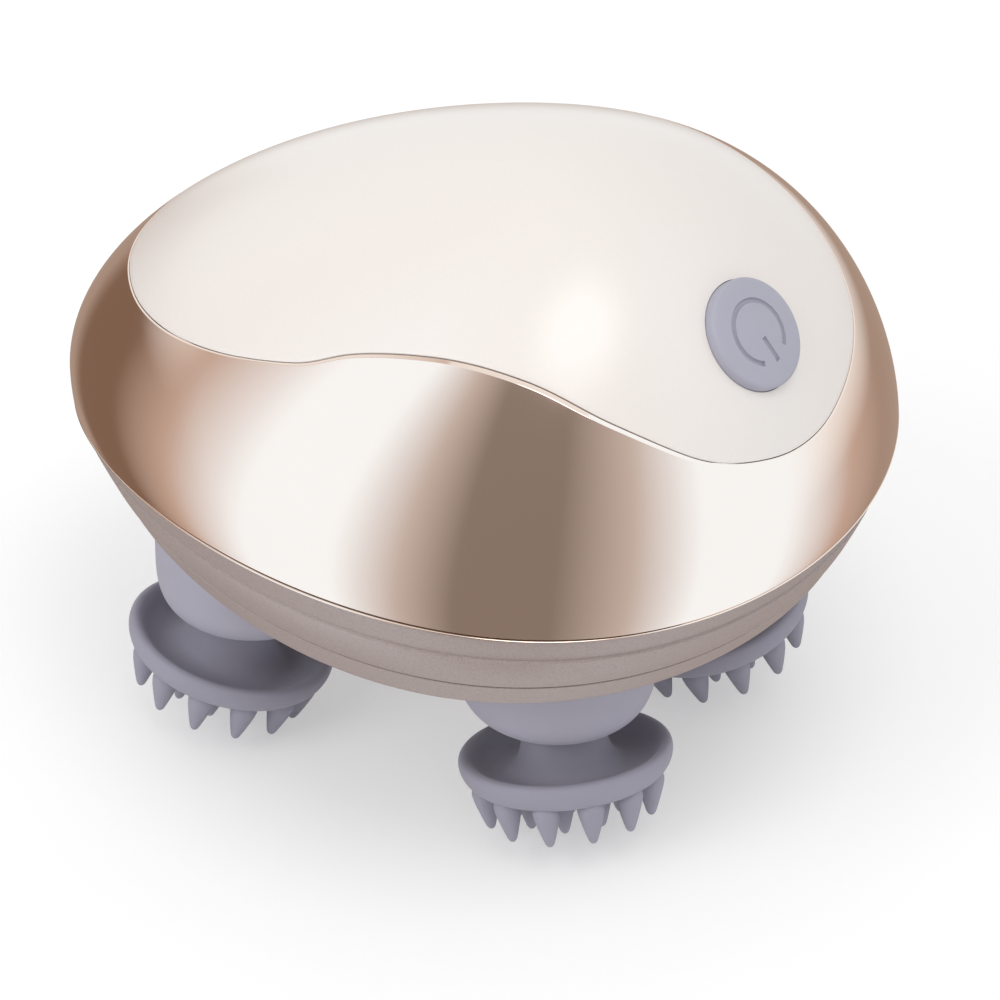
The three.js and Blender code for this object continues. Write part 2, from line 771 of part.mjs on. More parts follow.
let gearTray = plate(trayInset, trayBottom, trayTop);
postPlaces.forEach(([x, y]) => {
  gearTray = gearTray.add(
    disc(postRadius, trayBottom, lidBottom - fit, aroundSmall).translate([x, y, 0]),
  );
  gearTray = gearTray.subtract(
    disc(smallScrewRadius + fit, trayTop, lidBottom + cutOverrun, aroundSmall).translate([x, y, 0]),
  );
});
const axleFoot = disc(axleRadius * 2, trayBottom, trayTop, aroundSmall).translate([gearCentreX, 0, 0]);
gearTray = gearTray.add(axleFoot).subtract(
  disc(axleRadius + fit, trayTop - trayThickness / 2, lidBottom, aroundSmall).translate([gearCentreX, 0, 0]),
);
headPlaces.forEach(({ x, y }) => {
  gearTray = gearTray.subtract(
    disc(shaftRadius + bushWall + fit * 2, trayBottom - cutOverrun, trayTop + cutOverrun, aroundSmall * 2)
      .translate([x, y, 0]),
  );
});
screwPlaces.forEach(([x, y]) => {
  gearTray = gearTray.subtract(
    disc(bossRadius + fit, trayBottom - cutOverrun, trayTop + cutOverrun, aroundSmall).translate([x, y, 0]),
  );
});

const boardPosts = boardPostShares.map(([alongShare, acrossShare]) => [
  boardX + alongShare * boardLength,
  boardY + acrossShare * boardWidth,
]);
let gearLid = plate(lidInset, lidBottom, lidTop);
boardPosts.forEach(([x, y]) => {
  gearLid = gearLid.add(
    disc(boardPostRadius, lidBottom, boardLevel - fit, aroundSmall).translate([x, y, 0]),
  );
  gearLid = gearLid.subtract(
    disc(smallScrewRadius + fit, boardLevel - smallScrewLength, boardLevel, aroundSmall).translate([x, y, 0]),
  );
});
const motorSaddleLength = motorLength / 2;
gearLid = gearLid.add(block(
  motorSaddleLength,
  motorWidth / 2,
  motorStandoff - fit,
  motorMiddle,
  wormY,
  lidTop + (motorStandoff - fit) / 2,
));
gearLid = gearLid.subtract(
  disc(driveHubRadius + fit * 2, lidBottom - cutOverrun, lidTop + cutOverrun, aroundSmall * 2)
    .translate([gearCentreX, 0, 0]),
);
postPlaces.forEach(([x, y]) => {
  gearLid = gearLid.subtract(
    disc(smallScrewRadius + fit, lidBottom - cutOverrun, lidTop + cutOverrun, aroundSmall).translate([x, y, 0]),
  );
});
headPlaces.forEach(({ x, y }) => {
  gearLid = gearLid.subtract(
    disc(shaftRadius + fit, lidBottom - cutOverrun, lidTop + cutOverrun, aroundSmall * 2).translate([x, y, 0]),
  );
});
screwPlaces.forEach(([x, y]) => {
  const reach = bossRadius + fit * 2;
  const slot = disc(reach, lidBottom - cutOverrun, lidTop + cutOverrun, aroundSmall).add(
    block(
      halfWidth,
      bossRadius + fit * 4,
      lidThickness + cutOverrun * 2,
      halfWidth / 2,
      0,
      (lidBottom + lidTop) / 2,
    ).rotate([0, 0, Math.atan2(y, x - gearCentreX) * 180 / Math.PI]),
  );
  gearLid = gearLid.subtract(slot.translate([x, y, 0]));
});

const driveAxle = disc(axleRadius, trayTop - trayThickness / 2 + fit, wheelTop + axleStand, aroundSmall)
  .translate([gearCentreX, 0, 0]);

// Moving heads

const pinDrop = pivotHeight - pinEnd;

// The crank: a shaft that carries the output gear and ends in a slanted pin.
function crankShaft(lean) {
  const shaft = disc(shaftRadius, pivotLevel - shaftRadius / 2, lidTop - fit, aroundSmall * 2);
  const slantedPin = disc(pinRadius, -pinDrop, 0, aroundSmall);
  return shaft.add(alongAxis(slantedPin, lean, new THREE.Vector3(0, 0, pivotLevel)));
}

function outputGear(angle) {
  return prism(gearOutline(outputTeeth, outputFirstTooth(angle)), gearBottom, gearTop)
    .subtract(disc(shaftRadius + fit, gearBottom - cutOverrun, gearTop + cutOverrun, aroundSmall * 2));
}

function bush() {
  const inner = shaftRadius + fit;
  const outer = inner + bushWall - fit;
  const bottom = trayTop - bushLength;
  return turned([
    [inner, bottom], [outer, bottom], [outer, trayBottom - fit], [outer, trayTop],
    [outer + bushWall / 2, trayTop], [outer + bushWall / 2, trayTop + fit], [inner, trayTop + fit],
  ], aroundSmall * 2);
}

function boot() {
  const foot = -bootBottom;
  const shoulder = -bootShoulderDepth;
  const lipBottom = seatLevel + fit;
  return turned([
    [bootHole, foot],
    [bootFoot, foot],
    [bootFoot + bootWall * 0.7, foot + bootWall * 0.5],
    [bootRadius - bootWall * 0.4, shoulder - bootWall * 0.6],
    [bootRadius, shoulder + bootWall * 0.4],
    [bootRadius, lipBottom],
    [bootRadius + bootLip, lipBottom],
    [bootRadius + bootLip, lipTop],
    [bootRadius - bootWall, lipTop],
    [bootRadius - bootWall, shoulder + bootWall],
    [bootFoot, foot + bootWall],
    [bootHole, foot + bootWall],
  ], aroundBoot);
}

// A head in its own frame: the crest of the dish lies at z = 0, its axis is +Z.
function headSolid() {
  const floor = -dishDepth;
  const bore = pinRadius + insertWall + fit * 2;
  const boreFloor = -pinEnd - fit * 2;
  let head = turned([
    [0, floor],
    [dishRadius - dishRim * 1.6, floor],
    [dishRadius - dishRim * 0.3, floor + dishRim * 0.7],
    [dishRadius, -dishRim],
    [dishRadius - dishRim * 0.3, -dishRim * 0.3],
    [dishRadius - dishRim, 0],
    [dishRadius - dishRim * 1.7, -dishRim * 0.4],
    [dishRadius * 0.66, -dishHollow],
    [hubRadius + dishRim * 2.2, -dishHollow * 0.8],
    [hubRadius + dishRim * 0.5, dishRim],
    [hubRadius, hubHeight],
    [bore, hubHeight],
    [bore, boreFloor],
    [0, boreFloor],
  ], aroundDish);
  const circles = [
    { count: outerClaws, radius: outerClawCircle, lean: outerClawLeanShare },
    { count: innerClaws, radius: innerClawCircle, lean: innerClawLeanShare },
    { count: 1, radius: 0, lean: 0 },
  ];
  circles.forEach(({ count, radius, lean }) => {
    for (let claw = 0; claw < count; claw += 1) {
      const turn = (claw + 0.5) / count * Math.PI * 2;
      const outward = new THREE.Vector3(Math.cos(turn), Math.sin(turn), 0);
      const axis = new THREE.Vector3(0, 0, 1).addScaledVector(outward, -lean).normalize();
      const place = outward.clone().multiplyScalar(radius).setZ(floor);
      head = head.add(alongAxis(clawSolid(), axis, place));
    }
  });
  return head;
}

// One claw, its root at z = 0 and its point down.
function clawSolid() {
  const waist = clawRadius + (clawTipRadius - clawRadius) * clawWaistShare * 1.3;
  return turned([
    [0, dishRim * 0.6],
    [clawRadius, dishRim * 0.6],
    [waist, -clawLength * clawWaistShare],
    [clawTipRadius, -clawLength],
    [0, -clawLength],
  ], aroundClaw);
}

function hubInsert() {
  const inner = pinRadius + fit;
  return sleeve(inner, inner + insertWall, -pinEnd - fit, insertTop, aroundSmall);
}

// Small parts

function screwSolid(shankRadius, headRadius, headHeight, length) {
  const slot = block(headRadius * 1.2, headRadius * 0.3, headHeight, 0, 0, 0);
  return turned([
    [0, 0], [headRadius, 0], [headRadius, headHeight], [shankRadius, headHeight],
    [shankRadius, length - shankRadius], [0, length],
  ], aroundSmall).subtract(slot);
}

const cellLevel = lidTop + fit + cradleWall + fit + cellRadius;
const cellBody = disc(cellRadius, -cellLength / 2, cellLength / 2, aroundSmall * 2)
  .add(disc(cellNubRadius, cellLength / 2 - cellNub, cellLength / 2 + cellNub, aroundSmall))
  .rotate([0, 90, 0])
  .translate([cellX, cellY, cellLevel]);

// The upper shell keeps clear of the motor and the cell.
const motorRoom = disc(motorWidth / 2 + fit, -motorLength / 2 - fit, motorLength / 2 + fit, aroundSmall * 2)
  .rotate([0, 90, 0])
  .translate([motorMiddle, wormY, wormLevel]);
const cellReach = cellLength / 2 + cellNub + fit;
const cellRoom = disc(cellRadius + fit, -cellReach, cellReach, aroundSmall * 2)
  .rotate([0, 90, 0])
  .translate([cellX, cellY, cellLevel]);
const cradleRoom = block(
  cellReach * 2,
  cellRadius * cradleWidthShare + fit * 2,
  cellLevel - lidTop,
  cellX,
  cellY,
  (cellLevel + lidTop) / 2,
);
upperShell = upperShell.subtract(motorRoom).subtract(cellRoom).subtract(cradleRoom);

const cradleOuterX = cellLength / 2 + cellNub + fit + cradleWall;
let cradle = block(
  cradleOuterX * 2,
  cellRadius * cradleWidthShare,
  cradleWall,
  cellX,
  cellY,
  lidTop + fit + cradleWall / 2,
);
[-1, 1].forEach((side) => {
  cradle = cradle.add(block(
    cradleWall,
    cellRadius * cradleWidthShare,
    cradleEnd + cradleWall,
    cellX + side * (cradleOuterX - cradleWall / 2),
    cellY,
    lidTop + fit + (cradleEnd + cradleWall) / 2,
  ));
});

postPlaces.forEach(([x, y]) => {
  const headRoom = disc(smallScrewHeadRadius + fit, lidTop, lidTop + smallScrewHead + fit * 2, aroundSmall);
  cradle = cradle.subtract(headRoom.translate([x, y, 0]));
});

let controlBoard = block(
  boardLength,
  boardWidth,
  boardThickness,
  boardX,
  boardY,
  boardLevel + boardThickness / 2,
);
controlBoard = controlBoard.add(block(
  chipLength,
  chipWidth,
  chipHeight + boardThickness / 2,
  boardX,
  boardY,
  boardLevel + boardThickness + chipHeight / 2 - boardThickness / 4,
));
boardPosts.forEach(([x, y]) => {
  controlBoard = controlBoard.subtract(
    disc(smallScrewRadius + fit, boardLevel - cutOverrun, boardLevel + boardThickness + cutOverrun, aroundSmall)
      .translate([x, y, 0]),
  );
});

// Button cap with the engraved power sign, its open side toward the button end.
function iconCut() {
  const middle = iconRadius - iconLine / 2;
  const ringPoints = [];
  const sweep = Math.PI * 2 - iconGapAngle;
  [middle + iconLine / 2, middle - iconLine / 2].forEach((radius, pass) => {
    for (let step = 0; step <= aroundIcon; step += 1) {
      const share = pass ? 1 - step / aroundIcon : step / aroundIcon;
      const turn = iconGapAngle / 2 + sweep * share;
      ringPoints.push([radius * Math.cos(turn), radius * Math.sin(turn)]);
    }
  });
  const top = buttonProud + cutOverrun;
  const bottom = buttonProud - iconDepth;
  const ring = prism(ringPoints, bottom, top);
  const bar = block(iconBar, iconLine, top - bottom, iconRadius - iconBar / 2, 0, (top + bottom) / 2);
  return ring.add(bar);
}

const buttonCap = turned([
  [0, stemEnd],
  [buttonStemRadius, stemEnd],
  [buttonStemRadius, -buttonFlangeDepth - buttonFlange],
  [buttonFlangeRadius, -buttonFlangeDepth - buttonFlange],
  [buttonFlangeRadius, -buttonFlangeDepth - fit],
  [buttonRadius, -buttonFlangeDepth - fit],
  [buttonRadius, buttonProud - buttonEdge],
  [buttonRadius - buttonEdge, buttonProud],
  [buttonRadius / 2, buttonProud + buttonCrown * 0.75],
  [0, buttonProud + buttonCrown],
], aroundBoot).subtract(iconCut().translate([0, 0, buttonCrown]));

const tactSwitch = block(switchSide, switchSide, switchHeight, 0, 0, (switchTop + switchBottom) / 2)
  .subtract(disc(
    plungerRadius + fit,
    plungerTop - plungerLength - buttonTravel - fit,
    switchTop + cutOverrun,
    aroundSmall,
  ));
const plunger = disc(plungerRadius, plungerTop - plungerLength, plungerTop, aroundSmall);
const switchBoard = disc(collarInner - fit, switchBoardBottom, switchBoardTop, aroundBoot);

const socketBody = turned([
  [0, 0], [socketRadius, 0], [socketRadius, -socketLength], [0, -socketLength],
].reverse(), aroundSmall * 2)
  .subtract(sleeve(socketPinRadius, socketBore, -socketLength + socketFloor, cutOverrun, aroundSmall))
  .rotate([0, 180, 0]);

// The whole object

const model = new THREE.Group();

function place(name, solid, material, parent = model) {
  const mesh = new THREE.Mesh(geometryOf(solid), material);
  mesh.name = name;
  parent.add(mesh);
  return mesh;
}

place('lower_shell', lowerShell, champagne);
place('upper_shell', upperShell, plated);
place('top_cover', topCover, pearl);
place('power_button', onButtonAxis(buttonCap), buttonGrey);
place('tact_switch', onButtonAxis(tactSwitch), blackPlastic);
place('switch_plunger', onButtonAxis(plunger), whitePlastic);
place('switch_board', onButtonAxis(switchBoard), circuitGreen);
place('control_board', controlBoard, circuitGreen);
place('battery_cell', cellBody, cellBlue);
place('battery_cradle', cradle, blackPlastic);
place('motor', motorBody, steel);
place('worm', wormBody, brass);
place('drive_gear', driveGear, whitePlastic);
place('drive_axle', driveAxle, steel);
place('gear_tray', gearTray, blackPlastic);
place('gear_lid', gearLid, blackPlastic);
place('charge_socket', socketAt(socketBody), blackPlastic);

screwPlaces.forEach(([x, y], index) => {
  const screw = screwSolid(screwRadius, screwHeadRadius, screwHead, housingScrewLength);
  place(`housing_screw_${index + 1}`, screw.translate([x, y, housingScrewStart]), steel);
});
postPlaces.forEach(([x, y], index) => {
  const screw = screwSolid(smallScrewRadius, smallScrewHeadRadius, smallScrewHead, smallScrewLength)
    .rotate([180, 0, 0]);
  place(`gearbox_screw_${index + 1}`, screw.translate([x, y, lidTop + fit + smallScrewHead]), steel);
});
boardPosts.forEach(([x, y], index) => {
  const screw = screwSolid(smallScrewRadius, smallScrewHeadRadius, smallScrewHead, smallScrewLength)
    .rotate([180, 0, 0]);
  const level = boardLevel + boardThickness + fit + smallScrewHead;
  place(`board_screw_${index + 1}`, screw.translate([x, y, level]), steel);
});

headPlaces.forEach(({ name, angle, x, y }) => {
  const station = new THREE.Group();
  station.position.set(x, y, 0);
  model.add(station);
  const inward = new THREE.Vector3(-Math.cos(angle), -Math.sin(angle), 0);
  const lean = new THREE.Vector3(0, 0, Math.cos(headTilt)).addScaledVector(inward, Math.sin(headTilt));
  place(`bearing_bush_${name}`, bush(), brass, station);
  place(`boot_${name}`, boot(), paleSilicone, station);
  place(`output_gear_${name}`, outputGear(angle), whitePlastic, station);
  place(`crank_${name}`, crankShaft(lean), steel, station);
  const rocker = new THREE.Group();
  rocker.position.set(0, 0, pivotLevel).addScaledVector(lean, -pivotHeight);
  rocker.quaternion.setFromUnitVectors(new THREE.Vector3(0, 0, 1), lean);
  station.add(rocker);
  place(`massage_head_${name}`, headSolid(), silicone, rocker);
  place(`hub_insert_${name}`, hubInsert(), whitePlastic, rocker);
});

// The lowest claw tips stand on z = 0.
const box = new THREE.Box3().setFromObject(model, true);
model.position.z = -box.min.z;

const object = new THREE.Group();
object.add(model);

export default object;
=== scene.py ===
# %% [markdown]
# # A scalp massager brush
#
# The object is a palm-held massager: an egg-shaped housing with mirror plating, a pearl cover with
# a round button, a satin lower shell, and four soft heads with claws. The mechanism inside is
# already made. This lesson makes the fine outer surfaces round it and gives every piece a finish.

# %% Load the frame
import json
import math

import bmesh
import bpy
from mathutils import Matrix, Vector


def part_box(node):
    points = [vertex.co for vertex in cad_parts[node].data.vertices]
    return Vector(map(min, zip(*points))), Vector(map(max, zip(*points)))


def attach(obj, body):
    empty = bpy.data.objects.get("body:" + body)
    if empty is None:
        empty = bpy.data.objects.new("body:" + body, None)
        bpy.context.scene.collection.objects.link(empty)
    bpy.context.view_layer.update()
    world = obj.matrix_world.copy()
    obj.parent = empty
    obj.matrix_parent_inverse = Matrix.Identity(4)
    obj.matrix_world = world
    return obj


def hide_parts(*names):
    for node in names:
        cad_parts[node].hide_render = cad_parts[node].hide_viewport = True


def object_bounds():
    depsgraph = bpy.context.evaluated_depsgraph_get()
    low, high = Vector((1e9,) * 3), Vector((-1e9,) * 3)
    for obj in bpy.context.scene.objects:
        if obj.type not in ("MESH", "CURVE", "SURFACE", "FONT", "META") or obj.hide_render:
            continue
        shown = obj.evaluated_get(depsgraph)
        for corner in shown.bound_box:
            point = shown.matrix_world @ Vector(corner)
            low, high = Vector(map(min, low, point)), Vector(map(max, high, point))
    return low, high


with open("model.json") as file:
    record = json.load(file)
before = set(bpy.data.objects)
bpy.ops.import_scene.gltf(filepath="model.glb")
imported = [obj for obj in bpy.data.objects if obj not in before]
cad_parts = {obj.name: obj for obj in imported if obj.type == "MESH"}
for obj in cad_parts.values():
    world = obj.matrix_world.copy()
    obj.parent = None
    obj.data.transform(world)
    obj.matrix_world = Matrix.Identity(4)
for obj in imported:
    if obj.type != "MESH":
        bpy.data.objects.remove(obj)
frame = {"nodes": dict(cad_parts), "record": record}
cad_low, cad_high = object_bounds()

print("nodes", len(frame["nodes"]), "box", tuple(cad_low), tuple(cad_high))

# %% [markdown]
# ## The camera
#
# A product shot like this one is taken with a long lens from a little above the button side. The
# camera stands 700 mm from the middle of the widest section, which keeps the perspective mild.
# A small shift places the object in the frame without turning the camera. Heights on the object
# are counted from its widest section, which is called the equator here.

# %% Camera
mm = 0.001
dome_height = 44.6 * mm
equator = cad_high.z - dome_height

camera_turn = math.radians(30)
camera_climb = math.radians(33)
camera_distance = 0.7
back = Vector((
    math.sin(camera_turn) * math.cos(camera_climb),
    -math.cos(camera_turn) * math.cos(camera_climb),
    math.sin(camera_climb),
))
camera_data = bpy.data.cameras.new("camera")
camera_data.lens = 191.97
camera_data.sensor_width = 36
camera_data.shift_x = 0.0362
camera_data.shift_y = -0.0915
camera = bpy.data.objects.new("camera", camera_data)
bpy.context.scene.collection.objects.link(camera)
camera.location = Vector((0, 0, equator)) + back * camera_distance
camera.rotation_mode = "QUATERNION"
camera.rotation_quaternion = (-back).to_track_quat("-Z", "Y")
bpy.context.scene.camera = camera
print("camera", tuple(round(v, 4) for v in camera.location))

# %% [markdown]
# ## Growing a piece ring by ring
#
# The housing follows one curved formula, and so do its seams, so a ready-made sphere would not
# fit it. Each shell starts as a circle. Its edge is extruded again and again, and every new ring
# is moved to its place. Rings that shrink to a point close a pole, and a last ring that lies on the
# first closes a wall. The same helper turns round pieces, because a lathe is only rings of circles.

# %% Ring helpers
merge_distance = 0.000001


def start_clean():
    if bpy.context.object and bpy.context.object.mode != "OBJECT":
        bpy.ops.object.mode_set(mode="OBJECT")
    bpy.ops.object.select_all(action="DESELECT")


def select_only(piece):
    start_clean()
    piece.select_set(True)
    bpy.context.view_layer.objects.active = piece


def smooth(piece, angle):
    """Shades a piece smooth, except over edges that bend by more than the angle in degrees."""
    select_only(piece)
    bpy.ops.object.shade_smooth_by_angle(angle=math.radians(angle))
    return piece


def grow(name, rings, smooth_angle):
    """A circle whose edge is extruded once for each further ring."""
    start_clean()
    bpy.ops.mesh.primitive_circle_add(vertices=len(rings[0]), fill_type="NOTHING")
    piece = bpy.context.object
    piece.name = piece.data.name = name
    bpy.ops.object.mode_set(mode="EDIT")
    bpy.ops.mesh.select_all(action="SELECT")
    mesh = bmesh.from_edit_mesh(piece.data)
    side = mesh.verts.layers.int.new("side")
    mesh.verts.ensure_lookup_table()
    for index, vert in enumerate(mesh.verts):
        vert[side] = index
        vert.co = rings[0][index]
    bmesh.update_edit_mesh(piece.data)
    for ring in rings[1:]:
        bpy.ops.mesh.extrude_region_move(TRANSFORM_OT_translate={"value": (0, 0, 0)})
        mesh = bmesh.from_edit_mesh(piece.data)
        side = mesh.verts.layers.int["side"]
        for vert in mesh.verts:
            if vert.select:
                vert.co = ring[vert[side]]
        bmesh.update_edit_mesh(piece.data)
    bpy.ops.mesh.select_all(action="SELECT")
    bpy.ops.mesh.remove_doubles(threshold=merge_distance)
    bpy.ops.mesh.normals_make_consistent(inside=False)
    bpy.ops.object.mode_set(mode="OBJECT")
    piece.data.attributes.remove(piece.data.attributes["side"])
    return smooth(piece, smooth_angle)


def circles(profile, corners):
    """Rings for a turned piece, from a profile of (radius, height) in millimetres."""
    turns = [index / corners * math.tau for index in range(corners)]
    return [
        [Vector((radius * math.cos(t), radius * math.sin(t), height)) * mm for t in turns]
        for radius, height in profile
    ]


def softened(profile, rounds):
    """Cuts the corners of a profile, so that it bends like moulded rubber."""
    for _ in range(rounds):
        cut = [profile[0]]
        for (r0, z0), (r1, z1) in zip(profile, profile[1:]):
            cut.append((r0 * 0.75 + r1 * 0.25, z0 * 0.75 + z1 * 0.25))
            cut.append((r0 * 0.25 + r1 * 0.75, z0 * 0.25 + z1 * 0.75))
        cut.append(profile[-1])
        profile = cut
    return profile


def carve(piece, cutter, operation="DIFFERENCE"):
    """Cuts a piece with another, or joins them. The second one is then thrown away."""
    select_only(piece)
    modifier = piece.modifiers.new("carve", "BOOLEAN")
    modifier.operation = operation
    modifier.solver = "EXACT"
    modifier.object = cutter
    bpy.ops.object.modifier_apply(modifier=modifier.name)
    bpy.data.objects.remove(cutter)
    return piece


def post(name, radius, bottom, top, corners):
    """A plain post that cuts a round hole."""
    start_clean()
    bpy.ops.mesh.primitive_cylinder_add(
        vertices=corners,
        radius=radius * mm,
        depth=(top - bottom) * mm,
        location=(0, 0, (top + bottom) / 2 * mm),
    )
    piece = bpy.context.object
    piece.name = name
    bpy.ops.object.transform_apply(location=True, rotation=False, scale=False)
    return piece


def report_piece(piece):
    print(piece.name, "faces", len(piece.data.polygons))
    return piece


# %% [markdown]
# ## The dome as a formula
#
# Seen from above the housing is an egg, wider toward the button end. Its height follows a
# rounded power curve, and the crown leans toward the button. A place on the skin is named by its
# turn round the egg and its lift above the equator. Below the equator the skin tucks in. The
# parting line between the two shells tips toward the tail and bows down at both ends.

# %% Dome surface
half_length = 56.5
half_width = 48.7
height = dome_height / mm
lean = 15
power = 1.657
soft_share = 0.16
egg_share = 0.235
skirt_reach = 30
tuck_depth = 9
tuck_share = 0.035
parting_level = -0.15
parting_tip = 2.55
parting_bow = 4.8
halvings = 44


def rise(scale):
    soft = soft_share ** power
    bend = (scale * scale + soft_share ** 2) ** (power / 2) - soft
    whole = (1 + soft_share ** 2) ** (power / 2) - soft
    return max(0, 1 - bend / whole) ** (1 / power)


def tuck(level):
    return 1 - tuck_share * (level / tuck_depth) ** 2 if level < 0 else 1


def skin(turn, lift):
    """A place on the outer skin, in millimetres from the middle of the equator."""
    if lift >= 0:
        scale = max(0, math.cos(lift)) ** (2 / power)
        shift = lean * math.sin(lift) ** 2
        level = height * rise(scale)
    else:
        level = lift * skirt_reach
        scale = tuck(level)
        shift = 0
    x = half_length * scale * math.cos(turn) + shift
    y = half_width * scale * math.sin(turn) * (1 + egg_share * math.cos(turn))
    return Vector((x, y, level))


def skin_normal(turn, lift):
    step = 0.002
    along = skin(turn + step, lift) - skin(turn - step, lift)
    up = skin(turn, lift + step) - skin(turn, lift - step)
    return along.cross(up).normalized()


def lift_of(x, y):
    """The turn and lift of the skin above a place in the plan, by halving."""
    low, high = 0, math.pi / 2
    for _ in range(halvings):
        lift = (low + high) / 2
        scale = math.cos(lift) ** (2 / power)
        along = (x - lean * math.sin(lift) ** 2) / (half_length * scale)
        width = half_width * scale * (1 + egg_share * along)
        inside = abs(along) < 1 and along ** 2 + (y / width) ** 2 < 1
        low, high = (lift, high) if inside else (low, lift)
    return math.atan2(y / width, along) % math.tau, low


def lift_at_level(level):
    """The lift of the skin at a height in millimetres, by halving."""
    if level <= 0:
        return level / skirt_reach
    low, high = 0, math.pi / 2
    for _ in range(halvings):
        lift = (low + high) / 2
        below = height * rise(math.cos(lift) ** (2 / power)) < level
        low, high = (lift, high) if below else (low, lift)
    return low


def parting(along):
    """The height of the parting line, from -1 at the tail to 1 at the button end."""
    return parting_level + parting_tip * along - parting_bow * (along * along - 0.5)


def to_frame(points):
    """Millimetres from the equator become metres in the frame of the CAD model."""
    return [Vector((p.x, p.y, p.z)) * mm + Vector((0, 0, equator)) for p in points]


print("crown", tuple(skin(0, math.pi / 2)))

# %% [markdown]
# ## The seam of the cover
#
# The edge of the pearl cover wanders over the dome like a drawn curve. Its points are given as
# shares of the half length and half width, and a smooth curve runs through them. For each turn
# round the egg the seam has one lift. There it also has three directions: along the seam, square
# to the skin, and outward in the skin. Gap, bevel and ledge are all laid out in those directions.

# %% Seam
seam_shares = [
    (-0.796, -0.06), (-0.78, -0.23), (-0.67, -0.41), (-0.504, -0.555), (-0.3, -0.655),
    (-0.088, -0.7), (0.058, -0.682), (0.25, -0.662), (0.473, -0.63), (0.66, -0.577),
    (0.818, -0.45), (0.908, -0.257), (0.938, -0.04), (0.908, 0.185), (0.832, 0.36),
    (0.71, 0.45), (0.53, 0.47), (0.265, 0.46), (0, 0.5), (-0.265, 0.515), (-0.51, 0.43),
    (-0.7, 0.22),
]
sides = 288
steps_per_share = 16


def curve_point(index, share):
    count = len(seam_shares)
    a, b, c, d = (Vector(seam_shares[(index + k) % count]) for k in (-1, 0, 1, 2))
    return 0.5 * (
        2 * b + (c - a) * share
        + (2 * a - 5 * b + 4 * c - d) * share ** 2
        + (3 * b - a - 3 * c + d) * share ** 3
    )


seam_plan = [
    curve_point(index, step / steps_per_share)
    for index in range(len(seam_shares))
    for step in range(steps_per_share)
]
seam_table = sorted(lift_of(p.x * half_length, p.y * half_width) for p in seam_plan)
turns = [index / sides * math.tau for index in range(sides)]


def seam_lift(turn):
    table = [(seam_table[-1][0] - math.tau, seam_table[-1][1])] + seam_table
    table.append((seam_table[0][0] + math.tau, seam_table[0][1]))
    for (t0, l0), (t1, l1) in zip(table, table[1:]):
        if t0 <= turn <= t1:
            return l0 + (l1 - l0) * (turn - t0) / max(t1 - t0, 1e-9)
    return table[-1][1]


seam_lifts = [seam_lift(turn) for turn in turns]
seam = [skin(turn, lift) for turn, lift in zip(turns, seam_lifts)]
seam_normals = [skin_normal(turn, lift) for turn, lift in zip(turns, seam_lifts)]
seam_outward = []
for index, normal in enumerate(seam_normals):
    along = seam[(index + 1) % sides] - seam[index - 1]
    seam_outward.append(along.cross(normal).normalized())


def seam_ring(outward, depth):
    """A ring beside the seam. Both offsets may be numbers or one number for each side."""
    ring = []
    for index in range(sides):
        b = outward[index] if isinstance(outward, list) else outward
        d = depth[index] if isinstance(depth, list) else depth
        ring.append(seam[index] + seam_outward[index] * b - seam_normals[index] * d)
    return ring


print("seam lifts", round(min(seam_lifts), 3), round(max(seam_lifts), 3))

# %% [markdown]
# ## The upper shell
#
# The plated shell is a wall that closes on itself: up the inside, round the ledge that carries the
# cover, over a polished bevel at the seam, and down the outside to the parting line. The bevel is
# wider along the front, where the real one shows a bright band beside the seam, and it ends in a
# small round, so that no hard line shows where it meets the skin.

# %% Upper shell
shell_wall = 3.2
cover_wall = 1.6
half_gap = 0.05
edge_round = 0.2
band_extra = 0.46
bevel_slope = 0.36
ledge_width = 3
ledge_depth = 2.05
parting_gap = 0.05
band_middle = math.radians(296)
band_spread = math.radians(44)
first_share = 0.05
outer_steps = 33


def bevel_width(turn):
    """The band at the front is wide between the corner at the tail and the button."""
    away = abs((turn - band_middle + math.pi) % math.tau - math.pi)
    fade = max(0, math.cos(min(1, away / band_spread) * math.pi / 2))
    return edge_round + band_extra * math.sqrt(fade)


bevels = [bevel_width(turn) for turn in turns]


def skin_ring(share, depth):
    """A ring between the seam, at share 0, and the parting line, at share 1."""
    ring = []
    for turn, top in zip(turns, seam_lifts):
        bottom = lift_at_level(parting(math.cos(turn)) + parting_gap)
        lift = top + (bottom - top) * share
        ring.append(skin(turn, lift) - skin_normal(turn, lift) * depth)
    return ring


outer_shares = [
    first_share + (1 - first_share) * index / outer_steps for index in range(outer_steps)
]
shell_rings = [
    seam_ring(-ledge_width, shell_wall),
    seam_ring(-ledge_width, ledge_depth),
    seam_ring(half_gap, ledge_depth),
    seam_ring(half_gap, [b * bevel_slope for b in bevels]),
    seam_ring([half_gap + b * 0.92 for b in bevels], [b * bevel_slope * 0.08 for b in bevels]),
    seam_ring([half_gap + b for b in bevels], 0),
    seam_ring([half_gap + b + 0.05 for b in bevels], 0),
]
shell_rings += [skin_ring(share, 0) for share in outer_shares]
shell_rings += [skin_ring(0.997, 0.01), skin_ring(1, 0.08), skin_ring(1, shell_wall)]
shell_rings += [skin_ring(share, shell_wall) for share in (0.8, 0.6, 0.4, 0.2, 0.1)]
shell_rings.append(shell_rings[0])
plated_shell = report_piece(grow("plated_shell", [to_frame(ring) for ring in shell_rings], 32))

# %% [markdown]
# ## The pearl cover
#
# The cover is a thin cap. From its crown the rings spread out to the seam, round over the edge,
# and come back along the underside. The hole for the button is cut square to the skin.

# %% Cover
crown = skin(0, math.pi / 2)
cover_edge = 0.14
cover_steps = 46


